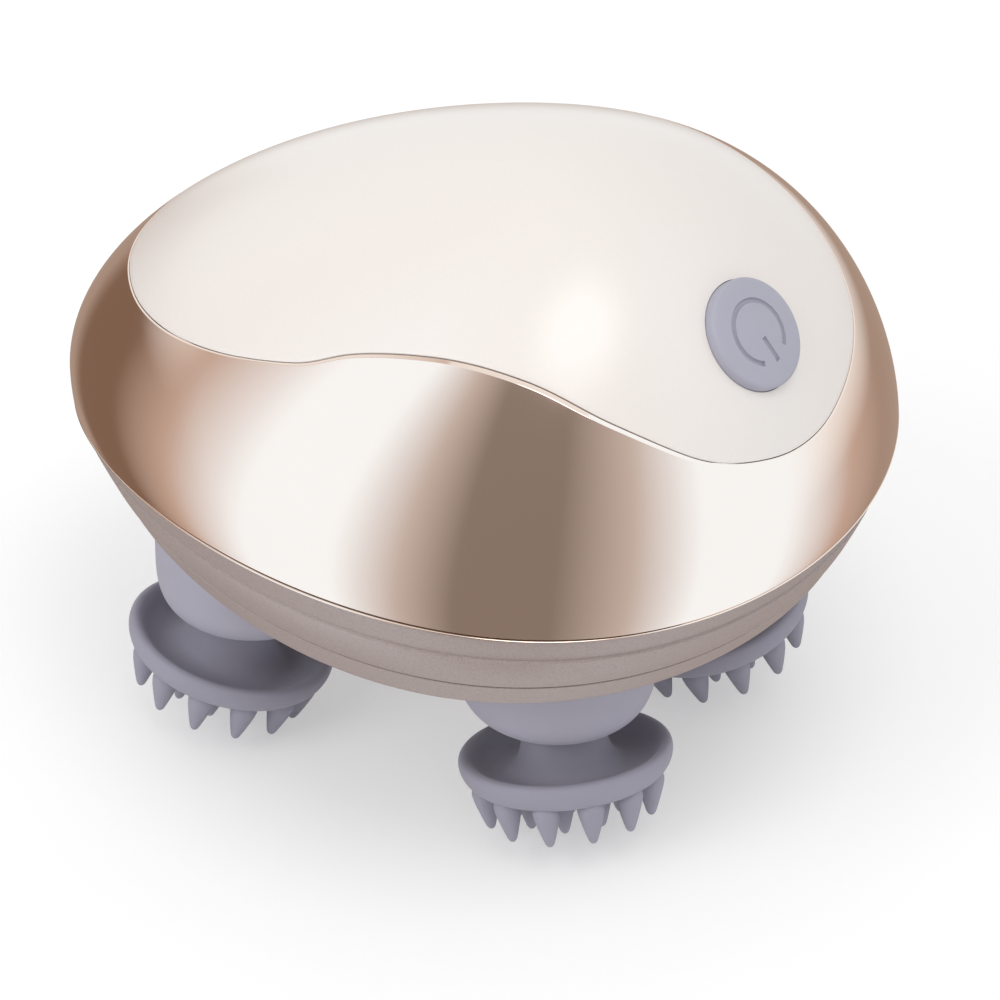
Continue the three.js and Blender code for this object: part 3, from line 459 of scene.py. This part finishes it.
def cover_ring(share, depth):
    """A ring between the crown, at share 0, and the seam, at share 1."""
    ring = []
    for turn, bottom in zip(turns, seam_lifts):
        lift = math.pi / 2 + (bottom - math.pi / 2) * share
        if share == 0:
            ring.append(crown - Vector((0, 0, depth)))
        else:
            ring.append(skin(turn, lift) - skin_normal(turn, lift) * depth)
    return ring


cover_shares = [0, 0.004] + [
    0.02 + 0.965 * (index / cover_steps) for index in range(cover_steps + 1)
]
cover_rings = [cover_ring(share, 0) for share in cover_shares]
cover_rings += [
    seam_ring(-half_gap - cover_edge, 0),
    seam_ring(-half_gap - cover_edge * 0.5, cover_edge * 0.12),
    seam_ring(-half_gap - cover_edge * 0.12, cover_edge * 0.5),
    seam_ring(-half_gap, cover_edge),
    seam_ring(-half_gap, cover_wall),
]
cover_rings += [cover_ring(share, cover_wall) for share in (0.9, 0.7, 0.5, 0.3, 0.1, 0)]
pearl_cover = grow("pearl_cover", [to_frame(ring) for ring in cover_rings], 32)

# %% Button hole
button_x, button_y = half_length - 11.6, -6
button_turn, button_lift = lift_of(button_x, button_y)
button_place = skin(button_turn, button_lift) * mm + Vector((0, 0, equator))
button_axis = skin_normal(button_turn, button_lift)
button_frame = Matrix.Translation(button_place) @ (
    Vector((0, 0, 1)).rotation_difference(button_axis).to_matrix().to_4x4()
)
button_radius = 7.25
button_gap = 0.1


def set_on_button(piece):
    piece.data.transform(button_frame)
    return piece


carve(pearl_cover, set_on_button(post("hole", button_radius + button_gap, -6, 6, 128)))
report_piece(smooth(pearl_cover, 32))
print("button", tuple(button_place), tuple(button_axis))

# %% [markdown]
# ## The button
#
# The cap is a low crown with a rounded edge, and a flange lower down that keeps it in. The power
# sign is engraved with a round-nosed groove, so the cutter is a bent wire: an open ring and a short
# bar. A wire is a curve with a round section, turned into a mesh before it cuts.

# %% Button cap
button_profile = [
    (0, -6.2), (1.5, -6.2), (1.5, -5.2), (8.9, -5.2), (8.9, -4.5), (7.25, -4.5), (7.25, 0.3),
    (7.22, 0.5), (7.13, 0.68), (6.98, 0.8), (6.78, 0.87), (6.5, 0.9), (5.8, 0.95), (4.8, 1.01),
    (3.6, 1.08), (2.4, 1.15), (1.2, 1.2), (0, 1.22),
]
button_cap = grow("button_cap", circles(button_profile, 128), 30)
sign_radius = 4.1
sign_half_gap = 0.58
groove_radius = 0.36
sign_height = 1.02
sign_steps = 64


def groove(name, places):
    curve = bpy.data.curves.new(name, "CURVE")
    curve.dimensions = "3D"
    curve.bevel_depth = groove_radius * mm
    curve.bevel_resolution = 4
    curve.use_fill_caps = True
    line = curve.splines.new("POLY")
    line.points.add(len(places) - 1)
    for point, place in zip(line.points, places):
        point.co = (*(Vector(place) * mm), 1)
    start_clean()
    wire = bpy.data.objects.new(name, curve)
    bpy.context.scene.collection.objects.link(wire)
    select_only(wire)
    bpy.ops.object.convert(target="MESH")
    return bpy.context.object


ring_places = []
for index in range(sign_steps + 1):
    turn = sign_half_gap + (math.tau - 2 * sign_half_gap) * index / sign_steps
    x, y = sign_radius * math.cos(turn), sign_radius * math.sin(turn)
    ring_places.append((x, y, sign_height - 0.02))
bar_places = [(0.9, 0, sign_height + 0.12), (4.4, 0, sign_height - 0.03)]
carve(button_cap, groove("sign_ring", ring_places))
carve(button_cap, groove("sign_bar", bar_places))
report_piece(smooth(set_on_button(button_cap), 30))

# %% [markdown]
# ## The lower shell
#
# Three stepped bands run round the lower shell. The upper step is a fine slope that faces up
# and catches the light, and the lower one is a fine groove that stays dark. The bottom edge is
# rounded, the underside slopes in to a flat base, and the base has four round openings for the
# boots and four deep seats for the screws.

# %% Lower shell
edge_drop = 10.75
edge_share = 0.928
edge_inset = 1.0
underside_run = 13
base_level = -edge_drop - 8.1
seat_level = -12.5
lip_share = 0.34
lip_reach = 0.26
groove_share = 0.74
groove_depth = 0.6
groove_height = 0.26


def egg(turn, scale, inset, level):
    """A place on an egg that is scaled and then set in by some millimetres."""
    x = (half_length * scale - inset) * math.cos(turn)
    y = (half_width * scale - inset) * math.sin(turn) * (1 + egg_share * math.cos(turn))
    return Vector((x, y, level))


def band_ring(share, inset, drop=0):
    """A ring between the parting line, at share 0, and the lower edge, at share 1."""
    ring = []
    for turn in turns:
        along = math.cos(turn)
        line = parting(along) - parting_gap
        top = tuck(line)
        level = line * (1 - share) - edge_drop * share - drop
        ring.append(egg(turn, top + (edge_share - top) * share, inset, level))
    return ring


def flat_ring(scale, inset, level):
    return [egg(turn, scale, inset, level) for turn in turns]


lower_rings = [
    band_ring(0, 0.6, 0.05), band_ring(0, 0.46, 0.08), band_ring(0.02, 0.42, 0.14),
    band_ring(lip_share * 0.5, 0.43),
    band_ring(lip_share, 0.43, -0.1),
    band_ring(lip_share, 0.43 - lip_reach, 0.1),
    band_ring(lip_share, 0.42 - lip_reach, 0.16),
    band_ring((lip_share + groove_share) / 2, 0.2),
    band_ring(groove_share, 0.34, -0.1),
    band_ring(groove_share, 0.42, 0),
    band_ring(groove_share, groove_depth + 0.6, 0.02),
    band_ring(groove_share, groove_depth + 0.6, groove_height),
    band_ring(groove_share, 0.66, groove_height + 0.02),
    band_ring(groove_share, 0.6, groove_height + 0.12),
    band_ring((groove_share + 1) / 2, 0.7),
    band_ring(0.96, 0.84),
    flat_ring(edge_share, edge_inset - 0.08, -edge_drop - 0.02),
    flat_ring(edge_share, edge_inset + 0.12, -edge_drop - 0.4),
    flat_ring(edge_share, edge_inset + 0.6, -edge_drop - 0.78),
    flat_ring(edge_share, edge_inset + 1.5, -edge_drop - 1.25),
    flat_ring(edge_share, edge_inset + 4, -edge_drop - 2.75),
    flat_ring(edge_share, edge_inset + 9, -edge_drop - 5.75),
    flat_ring(edge_share, edge_inset + underside_run - 0.8, base_level + 0.28),
    flat_ring(edge_share, edge_inset + underside_run + 0.3, base_level),
    flat_ring(0, 0, base_level),
    flat_ring(0, 0, seat_level),
    flat_ring(edge_share, edge_inset + 6, seat_level),
    flat_ring(edge_share, edge_inset + shell_wall, seat_level + 2.5),
    band_ring(0.45, shell_wall),
    band_ring(0, shell_wall, 0.03),
]
lower_rings.append(lower_rings[0])
lower_case = grow("lower_case", [to_frame(ring) for ring in lower_rings], 30)
print("lower shell rings", len(lower_rings))

# %% [markdown]
# ## The bright line
#
# Under the parting line runs a hair-thin polished bead. It is a closed ring with a slanted face
# that looks up and out, so it mirrors the bright top of the room from every side.

# %% Polished bead
bead_rings = [
    band_ring(0, 0.4, 0.05), band_ring(0, 0.14, 0.05), band_ring(0, 0.04, 0.1),
    band_ring(0, 0, 0.18), band_ring(0, 0.06, 0.27), band_ring(0, 0.4, 0.3),
]
bead_rings.append(bead_rings[0])
bright_bead = report_piece(grow("bright_bead", [to_frame(ring) for ring in bead_rings], 50))

# %% [markdown]
# ## Openings of the lower shell
#
# Each head stands at a station round the gear in the middle, and the four stations mirror each
# other. A station needs a round opening and a screw needs a deep seat, and both are cut by posts.

# %% Openings of the lower shell
gear_centre_x = 1
output_reach = 29
output_angle = math.radians(37.5)
boot_radius = 13
boot_gap = 0.2
cut_past = 4
screw_seat_radius = 2.6
screw_seat_top = -12.6
stations = {
    "front_right": -output_angle,
    "back_right": output_angle,
    "back_left": math.pi - output_angle,
    "front_left": math.pi + output_angle,
}
screw_places = [(43, 0), (-43, 0), (gear_centre_x, 37.5), (gear_centre_x, -37.5)]


def station_place(angle):
    """The middle of a station, at the height of the equator."""
    x = gear_centre_x + output_reach * math.cos(angle)
    return Vector((x, output_reach * math.sin(angle), equator / mm)) * mm


cut_from = base_level - cut_past
for angle in stations.values():
    opening = post("opening", boot_radius + boot_gap, cut_from, seat_level + cut_past, 128)
    opening.data.transform(Matrix.Translation(station_place(angle)))
    carve(lower_case, opening)
for x, y in screw_places:
    seat = post("seat", screw_seat_radius, cut_from, screw_seat_top, 48)
    seat.data.transform(Matrix.Translation(Vector((x * mm, y * mm, equator))))
    carve(lower_case, seat)
report_piece(smooth(lower_case, 30))

# %% [markdown]
# ## The boots
#
# A boot is a soft bowl that closes the opening round each slanted pin. It is turned from one
# profile, with its corners cut so that it bends like rubber, and copied to the four places.

# %% Boots
boot_profile = softened([
    (8, -27.2), (10.3, -27.2), (12.2, -25.4),
    (boot_radius, -22.6), (boot_radius, -18), (boot_radius, -12.2),
], 3) + [(14.6, -12.2), (14.6, -11.2)] + softened([
    (11.7, -11.2), (11.7, -22), (11.2, -24.2), (9.9, -25.7), (8, -25.9),
], 2) + [(8, -27.2)]
boot_master = grow("boot_master", circles(boot_profile, 96), 40)
boots = {}
for key, angle in stations.items():
    boot = boot_master.copy()
    boot.data = boot_master.data.copy()
    boot.name = boot.data.name = "boot_skin_" + key
    bpy.context.scene.collection.objects.link(boot)
    boot.data.transform(Matrix.Translation(station_place(angle)))
    boots[key] = report_piece(boot)
bpy.data.objects.remove(boot_master)

# %% [markdown]
# ## The heads
#
# A head is a bowl with a low hub for the pin and claws below. The bowl is turned, then the claws
# are joined to it. A claw is a cone with a round tip. Twelve stand under the rim and lean a little
# toward the middle. Eight stand upright further in, and one in the middle.

# %% Dish and claws
dish_bottom = -4
dish_profile = [(0, dish_bottom), (9, dish_bottom)] + softened([
    (10.5, dish_bottom), (12.2, dish_bottom), (13.3, -3.2), (14.05, -1.7), (14, -0.3),
    (13.2, 0.15), (12.3, -0.4),
    (11.2, -1.9), (9.5, -2.75), (7.9, -2.6), (6.6, -1.7), (5.9, 0), (5.4, 2.1),
], 3) + [(5.2, 2.5), (4.95, 2.6), (4.1, 2.6), (4, 2.5), (4, -1.2), (0, -1.2)]
claw_profile = [
    (0, 0.9), (1, 0.9), (1.5, 0.5), (1.78, 0), (1.82, -0.4), (1.7, -1.2), (1.45, -2.2),
    (1.15, -3.3), (0.85, -4.3), (0.64, -4.95), (0.48, -5.24), (0.3, -5.42), (0.15, -5.48),
    (0, -5.5),
]
claw_circles = [(12, 11.15, -0.07), (8, 6.5, 0), (1, 0, 0)]
claw_root = Vector((0, 0, dish_bottom))
head_master = grow("head_master", circles(dish_profile, 96), 40)
claws = []
for count, reach, slant in claw_circles:
    for index in range(count):
        turn = (index + 0.5) / count * math.tau
        outward = Vector((math.cos(turn), math.sin(turn), 0))
        axis = (Vector((0, 0, 1)) - outward * slant).normalized()
        claw = grow("claw", circles(claw_profile, 18), 60)
        place = Matrix.Translation((outward * reach + claw_root) * mm)
        tilt = Vector((0, 0, 1)).rotation_difference(axis).to_matrix().to_4x4()
        claw.data.transform(place @ tilt)
        claws.append(claw)
start_clean()
for claw in claws:
    claw.select_set(True)
bpy.context.view_layer.objects.active = claws[0]
bpy.ops.object.join()
carve(head_master, claws[0], "UNION")
report_piece(smooth(head_master, 38))

# %% [markdown]
# ## Heads on their pins
#
# The crank pins slant, so every head leans, here with its underside toward the middle. As the
# crank turns, the lean travels round and the claws knead. The pivot stays over the station, and
# the dish hangs from it along the slanted axis.

# %% Heads on their pins
head_tilt = math.radians(15)
pivot_height = 11.6
dish_level = -32.7
pivot_level = dish_level + pivot_height * math.cos(head_tilt)
heads = {}
for key, angle in stations.items():
    inward = Vector((-math.cos(angle), -math.sin(angle), 0))
    axis = Vector((0, 0, math.cos(head_tilt))) + inward * math.sin(head_tilt)
    place = station_place(angle) + (Vector((0, 0, pivot_level)) - axis * pivot_height) * mm
    turn = Vector((0, 0, 1)).rotation_difference(axis).to_matrix().to_4x4()
    head = head_master.copy()
    head.data = head_master.data.copy()
    head.name = head.data.name = "claw_head_" + key
    bpy.context.scene.collection.objects.link(head)
    head.data.transform(Matrix.Translation(place) @ turn)
    heads[key] = head
bpy.data.objects.remove(head_master)
print("heads", list(heads))

# %% [markdown]
# ## Screws and socket
#
# Four screws hold the two shells together. Only their heads show, deep in the underside, each with
# a cross-shaped slot.

# %% Housing screws
screw_face = -14.3
screw_profile = [
    (0, screw_face), (1.9, screw_face), (2.2, -14.1), (2.3, -13.8), (2.3, -12.9), (1.3, -12.9),
    (1.3, 1.2), (0, 2.5),
]
cross_length, cross_width, cross_depth = 3 * mm, 0.6 * mm, 1.6 * mm
screws = []
for index, (x, y) in enumerate(screw_places):
    screw = grow("case_screw_%d" % (index + 1), circles(screw_profile, 40), 30)
    for turn in (0, math.pi / 2):
        start_clean()
        bpy.ops.mesh.primitive_cube_add(size=1)
        cross = bpy.context.object
        cross.data.transform(Matrix.Diagonal((cross_length, cross_width, cross_depth, 1)))
        cross.data.transform(Matrix.Rotation(turn, 4, "Z"))
        cross.data.transform(Matrix.Translation((0, 0, screw_face * mm)))
        carve(screw, cross)
    screw.data.transform(Matrix.Translation((x * mm, y * mm, equator)))
    screws.append(screw)
print("screws", len(screws))

# %% [markdown]
# ## The charging socket
#
# The socket is a dark plug with a round bore and a centre pin. It is turned upright and laid over.
# The tail is curved both ways, so the points of the plug's face are pushed out one by one until
# the face lies flush with the skin. The shell gets a round hole for it.

# %% Charging socket
socket_low, socket_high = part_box("charge_socket")
socket_middle = (socket_low + socket_high) / 2
socket_profile = [
    (0, 0), (3.25, 0), (3.4, -0.15), (3.4, -7), (0, -7),
]
bore_profile = [(0.6, 1), (1.75, 1), (1.75, -5.8), (0.6, -5.8), (0.6, 1)]
socket_hole_radius = 3.55
socket = grow("socket_plug", circles(socket_profile, 64), 30)
carve(socket, grow("bore", circles(bore_profile, 48), 30))
turn_out = Matrix.Rotation(-math.pi / 2, 4, "Y")
socket_frame = Matrix.Translation((socket_low.x, socket_middle.y, socket_middle.z)) @ turn_out
socket.data.transform(socket_frame)


def tail_reach(y, level):
    """How far back the skin stands at a place on the tail, by halving the turn."""
    lift = lift_at_level(level)
    low_turn, high_turn = math.pi / 2, math.pi * 1.5
    for _ in range(40):
        middle = (low_turn + high_turn) / 2
        beyond = skin(middle, lift).y > y
        low_turn, high_turn = (middle, high_turn) if beyond else (low_turn, middle)
    return skin(low_turn, lift).x


socket_recess = 0.1 * mm
face_limit = socket_low.x + 1 * mm
for vert in socket.data.vertices:
    if vert.co.x < face_limit:
        reach = tail_reach(vert.co.y / mm, (vert.co.z - equator) / mm)
        vert.co.x += reach * mm - socket_low.x + socket_recess
socket_hole = post("socket_hole", socket_hole_radius, -12, 12, 64)
socket_hole.data.transform(socket_frame)
carve(plated_shell, socket_hole)
report_piece(smooth(plated_shell, 32))

# %% [markdown]
# ## Finishes
#
# Shader sums are easier to read as sums, so a small class wraps a socket and lets it be added and
# multiplied. Each finish then has a colour that varies a little, a roughness that varies a little,
# and a fine bump at the scale of the real surface.

# %% Shader helpers
class Wire:
    """A socket that can take part in sums."""

    def __init__(self, finish, socket):
        self.finish = finish
        self.socket = socket

    def beside(self, name):
        """Another output of the node that this socket belongs to."""
        return Wire(self.finish, self.socket.node.outputs[name])

    def sum(self, operation, other, swapped=False):
        first, second = (other, self) if swapped else (self, other)
        settings = {"operation": operation}
        return self.finish.node("ShaderNodeMath", settings, {0: first, 1: second})

    def __add__(self, other):
        return self.sum("ADD", other)

    def __radd__(self, other):
        return self.sum("ADD", other, True)

    def __sub__(self, other):
        return self.sum("SUBTRACT", other)

    def __rsub__(self, other):
        return self.sum("SUBTRACT", other, True)

    def __mul__(self, other):
        return self.sum("MULTIPLY", other)

    def __rmul__(self, other):
        return self.sum("MULTIPLY", other, True)


class Finish:
    """A material under construction."""

    def __init__(self, name):
        self.material = bpy.data.materials.new(name)
        self.material.use_nodes = True
        self.nodes = self.material.node_tree.nodes
        self.links = self.material.node_tree.links
        self.shader = self.nodes["Principled BSDF"]
        self.place = self.node("ShaderNodeTexCoord", out="Object")

    def feed(self, target, value):
        if isinstance(value, Wire):
            self.links.new(value.socket, target)
        else:
            target.default_value = value

    def node(self, kind, settings=None, inputs=None, out=0):
        made = self.nodes.new(kind)
        for key, value in (settings or {}).items():
            if key == "stops":
                ramp = made.color_ramp
                while len(ramp.elements) < len(value):
                    ramp.elements.new(1)
                for element, (place, colour) in zip(ramp.elements, value):
                    element.position = place
                    element.color = colour
            else:
                setattr(made, key, value)
        for key, value in (inputs or {}).items():
            self.feed(made.inputs[key], value)
        return Wire(self, made.outputs[out])

    def noise(self, scale, detail=3):
        return self.node("ShaderNodeTexNoise", None, {
            "Vector": self.place, "Scale": scale, "Detail": detail,
        })

    def blend(self, share, first, second):
        return self.node("ShaderNodeMix", {"data_type": "RGBA"}, {0: share, 6: first, 7: second}, 2)

    def bump(self, grain, strength, distance):
        return self.node("ShaderNodeBump", None, {
            "Height": grain, "Strength": strength, "Distance": distance,
        })

    def put(self, **values):
        for key, value in values.items():
            self.feed(self.shader.inputs[key.replace("_", " ")], value)
        return self.material


def shade(colour, factor):
    """A colour made darker or lighter, with its alpha."""
    return tuple(min(1, c * factor) for c in colour) + (1,)


# %% [markdown]
# ## The plating and the pearl
#
# Rose-gold plating is a true metal: its colour is in the reflection, so most of the look comes from
# what stands round it. A faint waviness keeps it from looking like a mirror in a catalogue. The
# pearl is paint with tiny bright flakes under a clear coat.

# %% Plating, pearl and satin
rose = (0.85, 0.725, 0.64)
plating = Finish("rose_gold_plating")
plating.put(
    Base_Color=plating.blend(plating.noise(24), shade(rose, 0.97), shade(rose, 1.03)),
    Metallic=1.0,
    Roughness=0.07 + plating.noise(60) * 0.04,
    Normal=plating.bump(plating.noise(900, 2), 0.02, 0.00002),
)

cream = (0.815, 0.762, 0.722)
pearl = Finish("pearl_paint")
flakes = pearl.node("ShaderNodeTexVoronoi", None, {"Vector": pearl.place, "Scale": 9000.0})
pearl.put(
    Base_Color=pearl.blend(pearl.noise(2500, 2), shade(cream, 0.985), shade(cream, 1.02)),
    Roughness=0.34 + flakes * 0.06,
    Specular_IOR_Level=0.3,
    Coat_Weight=0.9 + pearl.noise(30) * 0.1,
    Coat_Roughness=0.24,
    Normal=pearl.bump(flakes, 0.015, 0.00002),
)

champagne = (0.42, 0.352, 0.333)
satin = Finish("champagne_satin")
sparkle = satin.node("ShaderNodeTexVoronoi", None, {"Vector": satin.place, "Scale": 5200.0})
satin.put(
    Base_Color=satin.blend(sparkle, shade(champagne, 1.16), shade(champagne, 0.86)),
    Metallic=0.2 + satin.noise(3000, 2) * 0.16,
    Roughness=0.42 + satin.noise(1800, 2) * 0.12,
    Normal=satin.bump(satin.noise(4200, 2), 0.16, 0.00004),
)
print("rose", rose, "cream", cream, "champagne", champagne)

# %% [markdown]
# ## Rubber, plastic and metal
#
# Silicone is matt, with a soft haze and faint mould marks. The pieces inside are hidden in use, yet
# each gets a finish of its own, because the housing can be opened.

# %% Rubber and the pieces inside
def rubber(name, colour, roughness=0.56):
    finish = Finish(name)
    grain = finish.noise(2600, 4)
    return finish.put(
        Base_Color=finish.blend(finish.noise(70), shade(colour, 0.94), shade(colour, 1.06)),
        Roughness=roughness + grain * 0.12,
        Sheen_Weight=0.12,
        Normal=finish.bump(grain, 0.12, 0.00005),
    )


def moulded(name, colour, roughness=0.42):
    finish = Finish(name)
    grain = finish.noise(1900, 3)
    return finish.put(
        Base_Color=finish.blend(finish.noise(90), shade(colour, 0.92), shade(colour, 1.08)),
        Roughness=roughness + grain * 0.14,
        Normal=finish.bump(grain, 0.1, 0.00005),
    )


def turned_metal(name, colour, roughness=0.24):
    finish = Finish(name)
    rings = finish.node("ShaderNodeTexWave", {"wave_type": "RINGS", "rings_direction": "Z"}, {
        "Vector": finish.place, "Scale": 1400.0, "Distortion": 2.0,
    })
    return finish.put(
        Base_Color=finish.blend(finish.noise(200), shade(colour, 0.9), shade(colour, 1.05)),
        Metallic=1.0,
        Roughness=roughness + rings * 0.14,
        Normal=finish.bump(rings, 0.05, 0.00003),
    )


finishes = {
    "rose_gold_plating": plating.material,
    "pearl_cover": pearl.material,
    "champagne_shell": satin.material,
    "head_silicone": rubber("head_silicone", (0.32, 0.31, 0.382)),
    # The boots are the heads' grey silicone painted about a fifth lighter: painted light from
    # above, a lit copy of the head silicone.
    "boot_silicone": rubber("boot_silicone", (0.385, 0.372, 0.448)),
    "button_grey": rubber("button_grey", (0.39, 0.383, 0.46), 0.44),
    "white_plastic": moulded("white_plastic", (0.7, 0.69, 0.64)),
    "black_plastic": moulded("black_plastic", (0.03, 0.03, 0.033), 0.5),
    "circuit_green": moulded("circuit_green", (0.02, 0.14, 0.06), 0.34),
    "cell_sleeve": moulded("cell_sleeve", (0.03, 0.12, 0.28), 0.3),
    "brass": turned_metal("brass", (0.72, 0.5, 0.2)),
    "steel": turned_metal("steel", (0.56, 0.57, 0.58)),
}
print("finishes", len(finishes))

# %% [markdown]
# ## Finishes on the pieces
#
# The CAD nodes keep their shapes and get the finish that their row in the record names. A new
# piece hides the CAD node that it stands for, and rides on the same body, so that it moves with
# the joints.

# %% Finishes on the pieces
for part in frame["record"]["subparts"]:
    node = frame["nodes"][part["node"]]
    node.data.materials.clear()
    node.data.materials.append(finishes[part["material_slot"]])


def finish_piece(piece, body, slot, *nodes):
    """Gives a piece its finish, lets it ride on its body and takes the place of the CAD nodes."""
    piece.data.materials.clear()
    piece.data.materials.append(finishes[slot])
    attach(piece, body)
    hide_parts(*nodes)


finish_piece(plated_shell, "housing", "rose_gold_plating", "upper_shell")
finish_piece(pearl_cover, "housing", "pearl_cover", "top_cover")
finish_piece(lower_case, "housing", "champagne_shell", "lower_shell")
finish_piece(bright_bead, "housing", "rose_gold_plating", "lower_shell")
finish_piece(socket, "housing", "black_plastic", "charge_socket")
finish_piece(button_cap, "button", "button_grey", "power_button")
for index, screw in enumerate(screws):
    finish_piece(screw, "housing", "steel", "housing_screw_%d" % (index + 1))
for key in stations:
    finish_piece(boots[key], "housing", "boot_silicone", "boot_" + key)
    finish_piece(heads[key], "head_" + key, "head_silicone", "massage_head_" + key)
print("dressed", len(screws) + len(boots) + len(heads) + 6, "new pieces")

# %% [markdown]
# ## The floor
#
# The floor is a pale sheet that keeps a soft shadow. The camera sees it as near white, because it
# glows a little for the camera alone. For the light that falls on the object it stays plain paper.

# %% Floor
floor_drop = 0.0002
floor_size = 40
start_clean()
bpy.ops.mesh.primitive_plane_add(size=floor_size, location=(0, 0, -floor_drop))
floor = bpy.context.object
floor.name = "floor"
floor_finish = Finish("pale_floor")
paper = floor_finish.blend(floor_finish.noise(3), (0.93, 0.93, 0.93, 1), (0.95, 0.95, 0.95, 1))
camera_ray = floor_finish.node("ShaderNodeLightPath", out="Is Camera Ray")
direct = camera_ray + camera_ray.beside("Is Glossy Ray") + camera_ray.beside("Is Transmission Ray")
floor_finish.put(
    Base_Color=floor_finish.blend(direct, paper, (0.62, 0.62, 0.62, 1)),
    Emission_Color=floor_finish.blend(direct, (0, 0, 0, 1), (0.4, 0.4, 0.4, 1)),
    Emission_Strength=1.0,
    Roughness=0.8,
)
floor.data.materials.append(floor_finish.material)
floor.visible_glossy = False
print("floor", floor_size, "m wide")

# %% [markdown]
# ## The tent
#
# Polished metal shows what stands round it, so a tall tent of glowing cloth surrounds the object,
# as in a product studio. Only reflections see it. Its colours are given in degrees round the
# tent, from the side where the camera stands. A grey flag in the middle of the front makes the dark
# band, white cloth on both sides makes the bright ones, and warm cloth hangs behind. Above it is a
# white screen. At the side of the tail the brown cloth reaches higher up than the rest.

# %% Tent
white_cloth = (1.1, 1.24, 1.36, 1)
dusk_cloth = (0.63, 0.56, 0.535, 1)
peach_cloth = (0.62, 0.47, 0.4, 1)
tan_cloth = (0.42, 0.31, 0.25, 1)
brown_cloth = (0.235, 0.145, 0.1, 1)
grey_flag = (0.28, 0.225, 0.2, 1)
screen_cloth = (1, 1, 1, 1)
front_plan = [
    (-86, white_cloth), (-62, white_cloth), (-42, dusk_cloth), (-24, grey_flag),
    (10, grey_flag), (37, dusk_cloth), (61, white_cloth), (92, white_cloth),
]
low_plan = [
    (-180, tan_cloth), (-158, tan_cloth), (-146, brown_cloth), (-124, brown_cloth),
    (-106, peach_cloth), *front_plan, (121, peach_cloth), (143, tan_cloth), (180, tan_cloth),
]
high_plan = [
    (-180, screen_cloth), (-124, screen_cloth), (-108, peach_cloth), *front_plan,
    (112, screen_cloth), (180, screen_cloth),
]
tail_plan = [
    (-170, (0, 0, 0, 1)), (-150, (1, 1, 1, 1)), (-106, (1, 1, 1, 1)), (-84, (0, 0, 0, 1)),
]
tail_reach_up = 1.15
screen_start = -0.9
screen_full = -0.4
spread_with_height = 0.04
start_clean()
bpy.ops.mesh.primitive_cylinder_add(
    vertices=96, radius=3, depth=16, end_fill_type="NOTHING", location=(0, 0, -2.5)
)
tent = bpy.context.object
tent.name = "tent"
bpy.ops.object.transform_apply(location=True, rotation=False, scale=False)
tent_finish = Finish("tent_cloth")
apart = tent_finish.node("ShaderNodeSeparateXYZ", None, {0: tent_finish.place}, "X")
place_y = apart.beside("Y")
turned_x = apart * back.x + place_y * back.y
turned_y = place_y * back.x - apart * back.y
around = turned_y.sum("ARCTAN2", turned_x)
level = apart.beside("Z")
share = around * (1 / math.tau) * (1 - level * spread_with_height) + 0.5


def cloth(plan):
    """A ramp round the tent, from a plan of (degrees, colour)."""
    stops = [(degrees / 360 + 0.5, colour) for degrees, colour in plan]
    return tent_finish.node("ShaderNodeValToRGB", {"stops": stops}, {0: share})


above = tent_finish.node("ShaderNodeMapRange", None, {
    "Value": level - cloth(tail_plan) * tail_reach_up,
    "From Min": screen_start,
    "From Max": screen_full,
})
tent_finish.put(
    Base_Color=(0, 0, 0, 1),
    Emission_Color=tent_finish.blend(above, cloth(low_plan), cloth(high_plan)),
    Emission_Strength=1.0,
    Roughness=1.0,
)
tent.data.materials.append(tent_finish.material)
tent.visible_camera = False
tent.visible_diffuse = False
tent.visible_shadow = False
tent.visible_transmission = False
print("tent", len(low_plan), "and", len(high_plan), "lengths of cloth")

# %% [markdown]
# ## World and lamps
#
# The world lights the object evenly, and the camera and reflections see it as plain white. Light
# Path tells the two apart. One lamp stands above and gives the pearl its broad highlight. The other
# fills the front and leaves no reflection of its own. Both are broad and plain, so that colours
# look as they are written.

# %% World and lamps
ambient = 0.69
world = bpy.data.worlds.new("studio")
bpy.context.scene.world = world
world.use_nodes = True
sky_nodes = world.node_tree.nodes
sky_links = world.node_tree.links
sky = sky_nodes["Background"]
sky.inputs["Color"].default_value = (1, 1, 1, 1)
path = sky_nodes.new("ShaderNodeLightPath")
seen = sky_nodes.new("ShaderNodeMath")
seen.operation = "ADD"
sky_links.new(path.outputs["Is Camera Ray"], seen.inputs[0])
sky_links.new(path.outputs["Is Glossy Ray"], seen.inputs[1])
clear = sky_nodes.new("ShaderNodeMath")
clear.operation = "ADD"
clear.use_clamp = True
sky_links.new(seen.outputs[0], clear.inputs[0])
sky_links.new(path.outputs["Is Transmission Ray"], clear.inputs[1])
strength = sky_nodes.new("ShaderNodeMapRange")
strength.inputs["To Min"].default_value = ambient
strength.inputs["To Max"].default_value = 1.0
sky_links.new(clear.outputs[0], strength.inputs["Value"])
sky_links.new(strength.outputs["Result"], sky.inputs["Strength"])


def lamp(name, towards, distance, size, power_w):
    """A round soft lamp that looks at the middle of the object."""
    data = bpy.data.lights.new(name, "AREA")
    data.shape = "DISK"
    data.size = size
    data.energy = power_w
    made = bpy.data.objects.new(name, data)
    bpy.context.scene.collection.objects.link(made)
    towards = Vector(towards).normalized()
    made.location = Vector((0, 0, equator)) + towards * distance
    made.rotation_mode = "QUATERNION"
    made.rotation_quaternion = (-towards).to_track_quat("-Z", "Y")
    return made


lamp("top_softbox", (0.3, -0.22, 0.93), 1.5, 0.86, 5.2)
front_lamp = lamp("front_lamp", (-0.25, -0.7, 0.6), 1.6, 1.0, 5.9)
front_lamp.visible_glossy = False
bpy.context.scene.view_settings.view_transform = "Standard"
print("ambient", ambient, "lamps", len(bpy.data.lights))
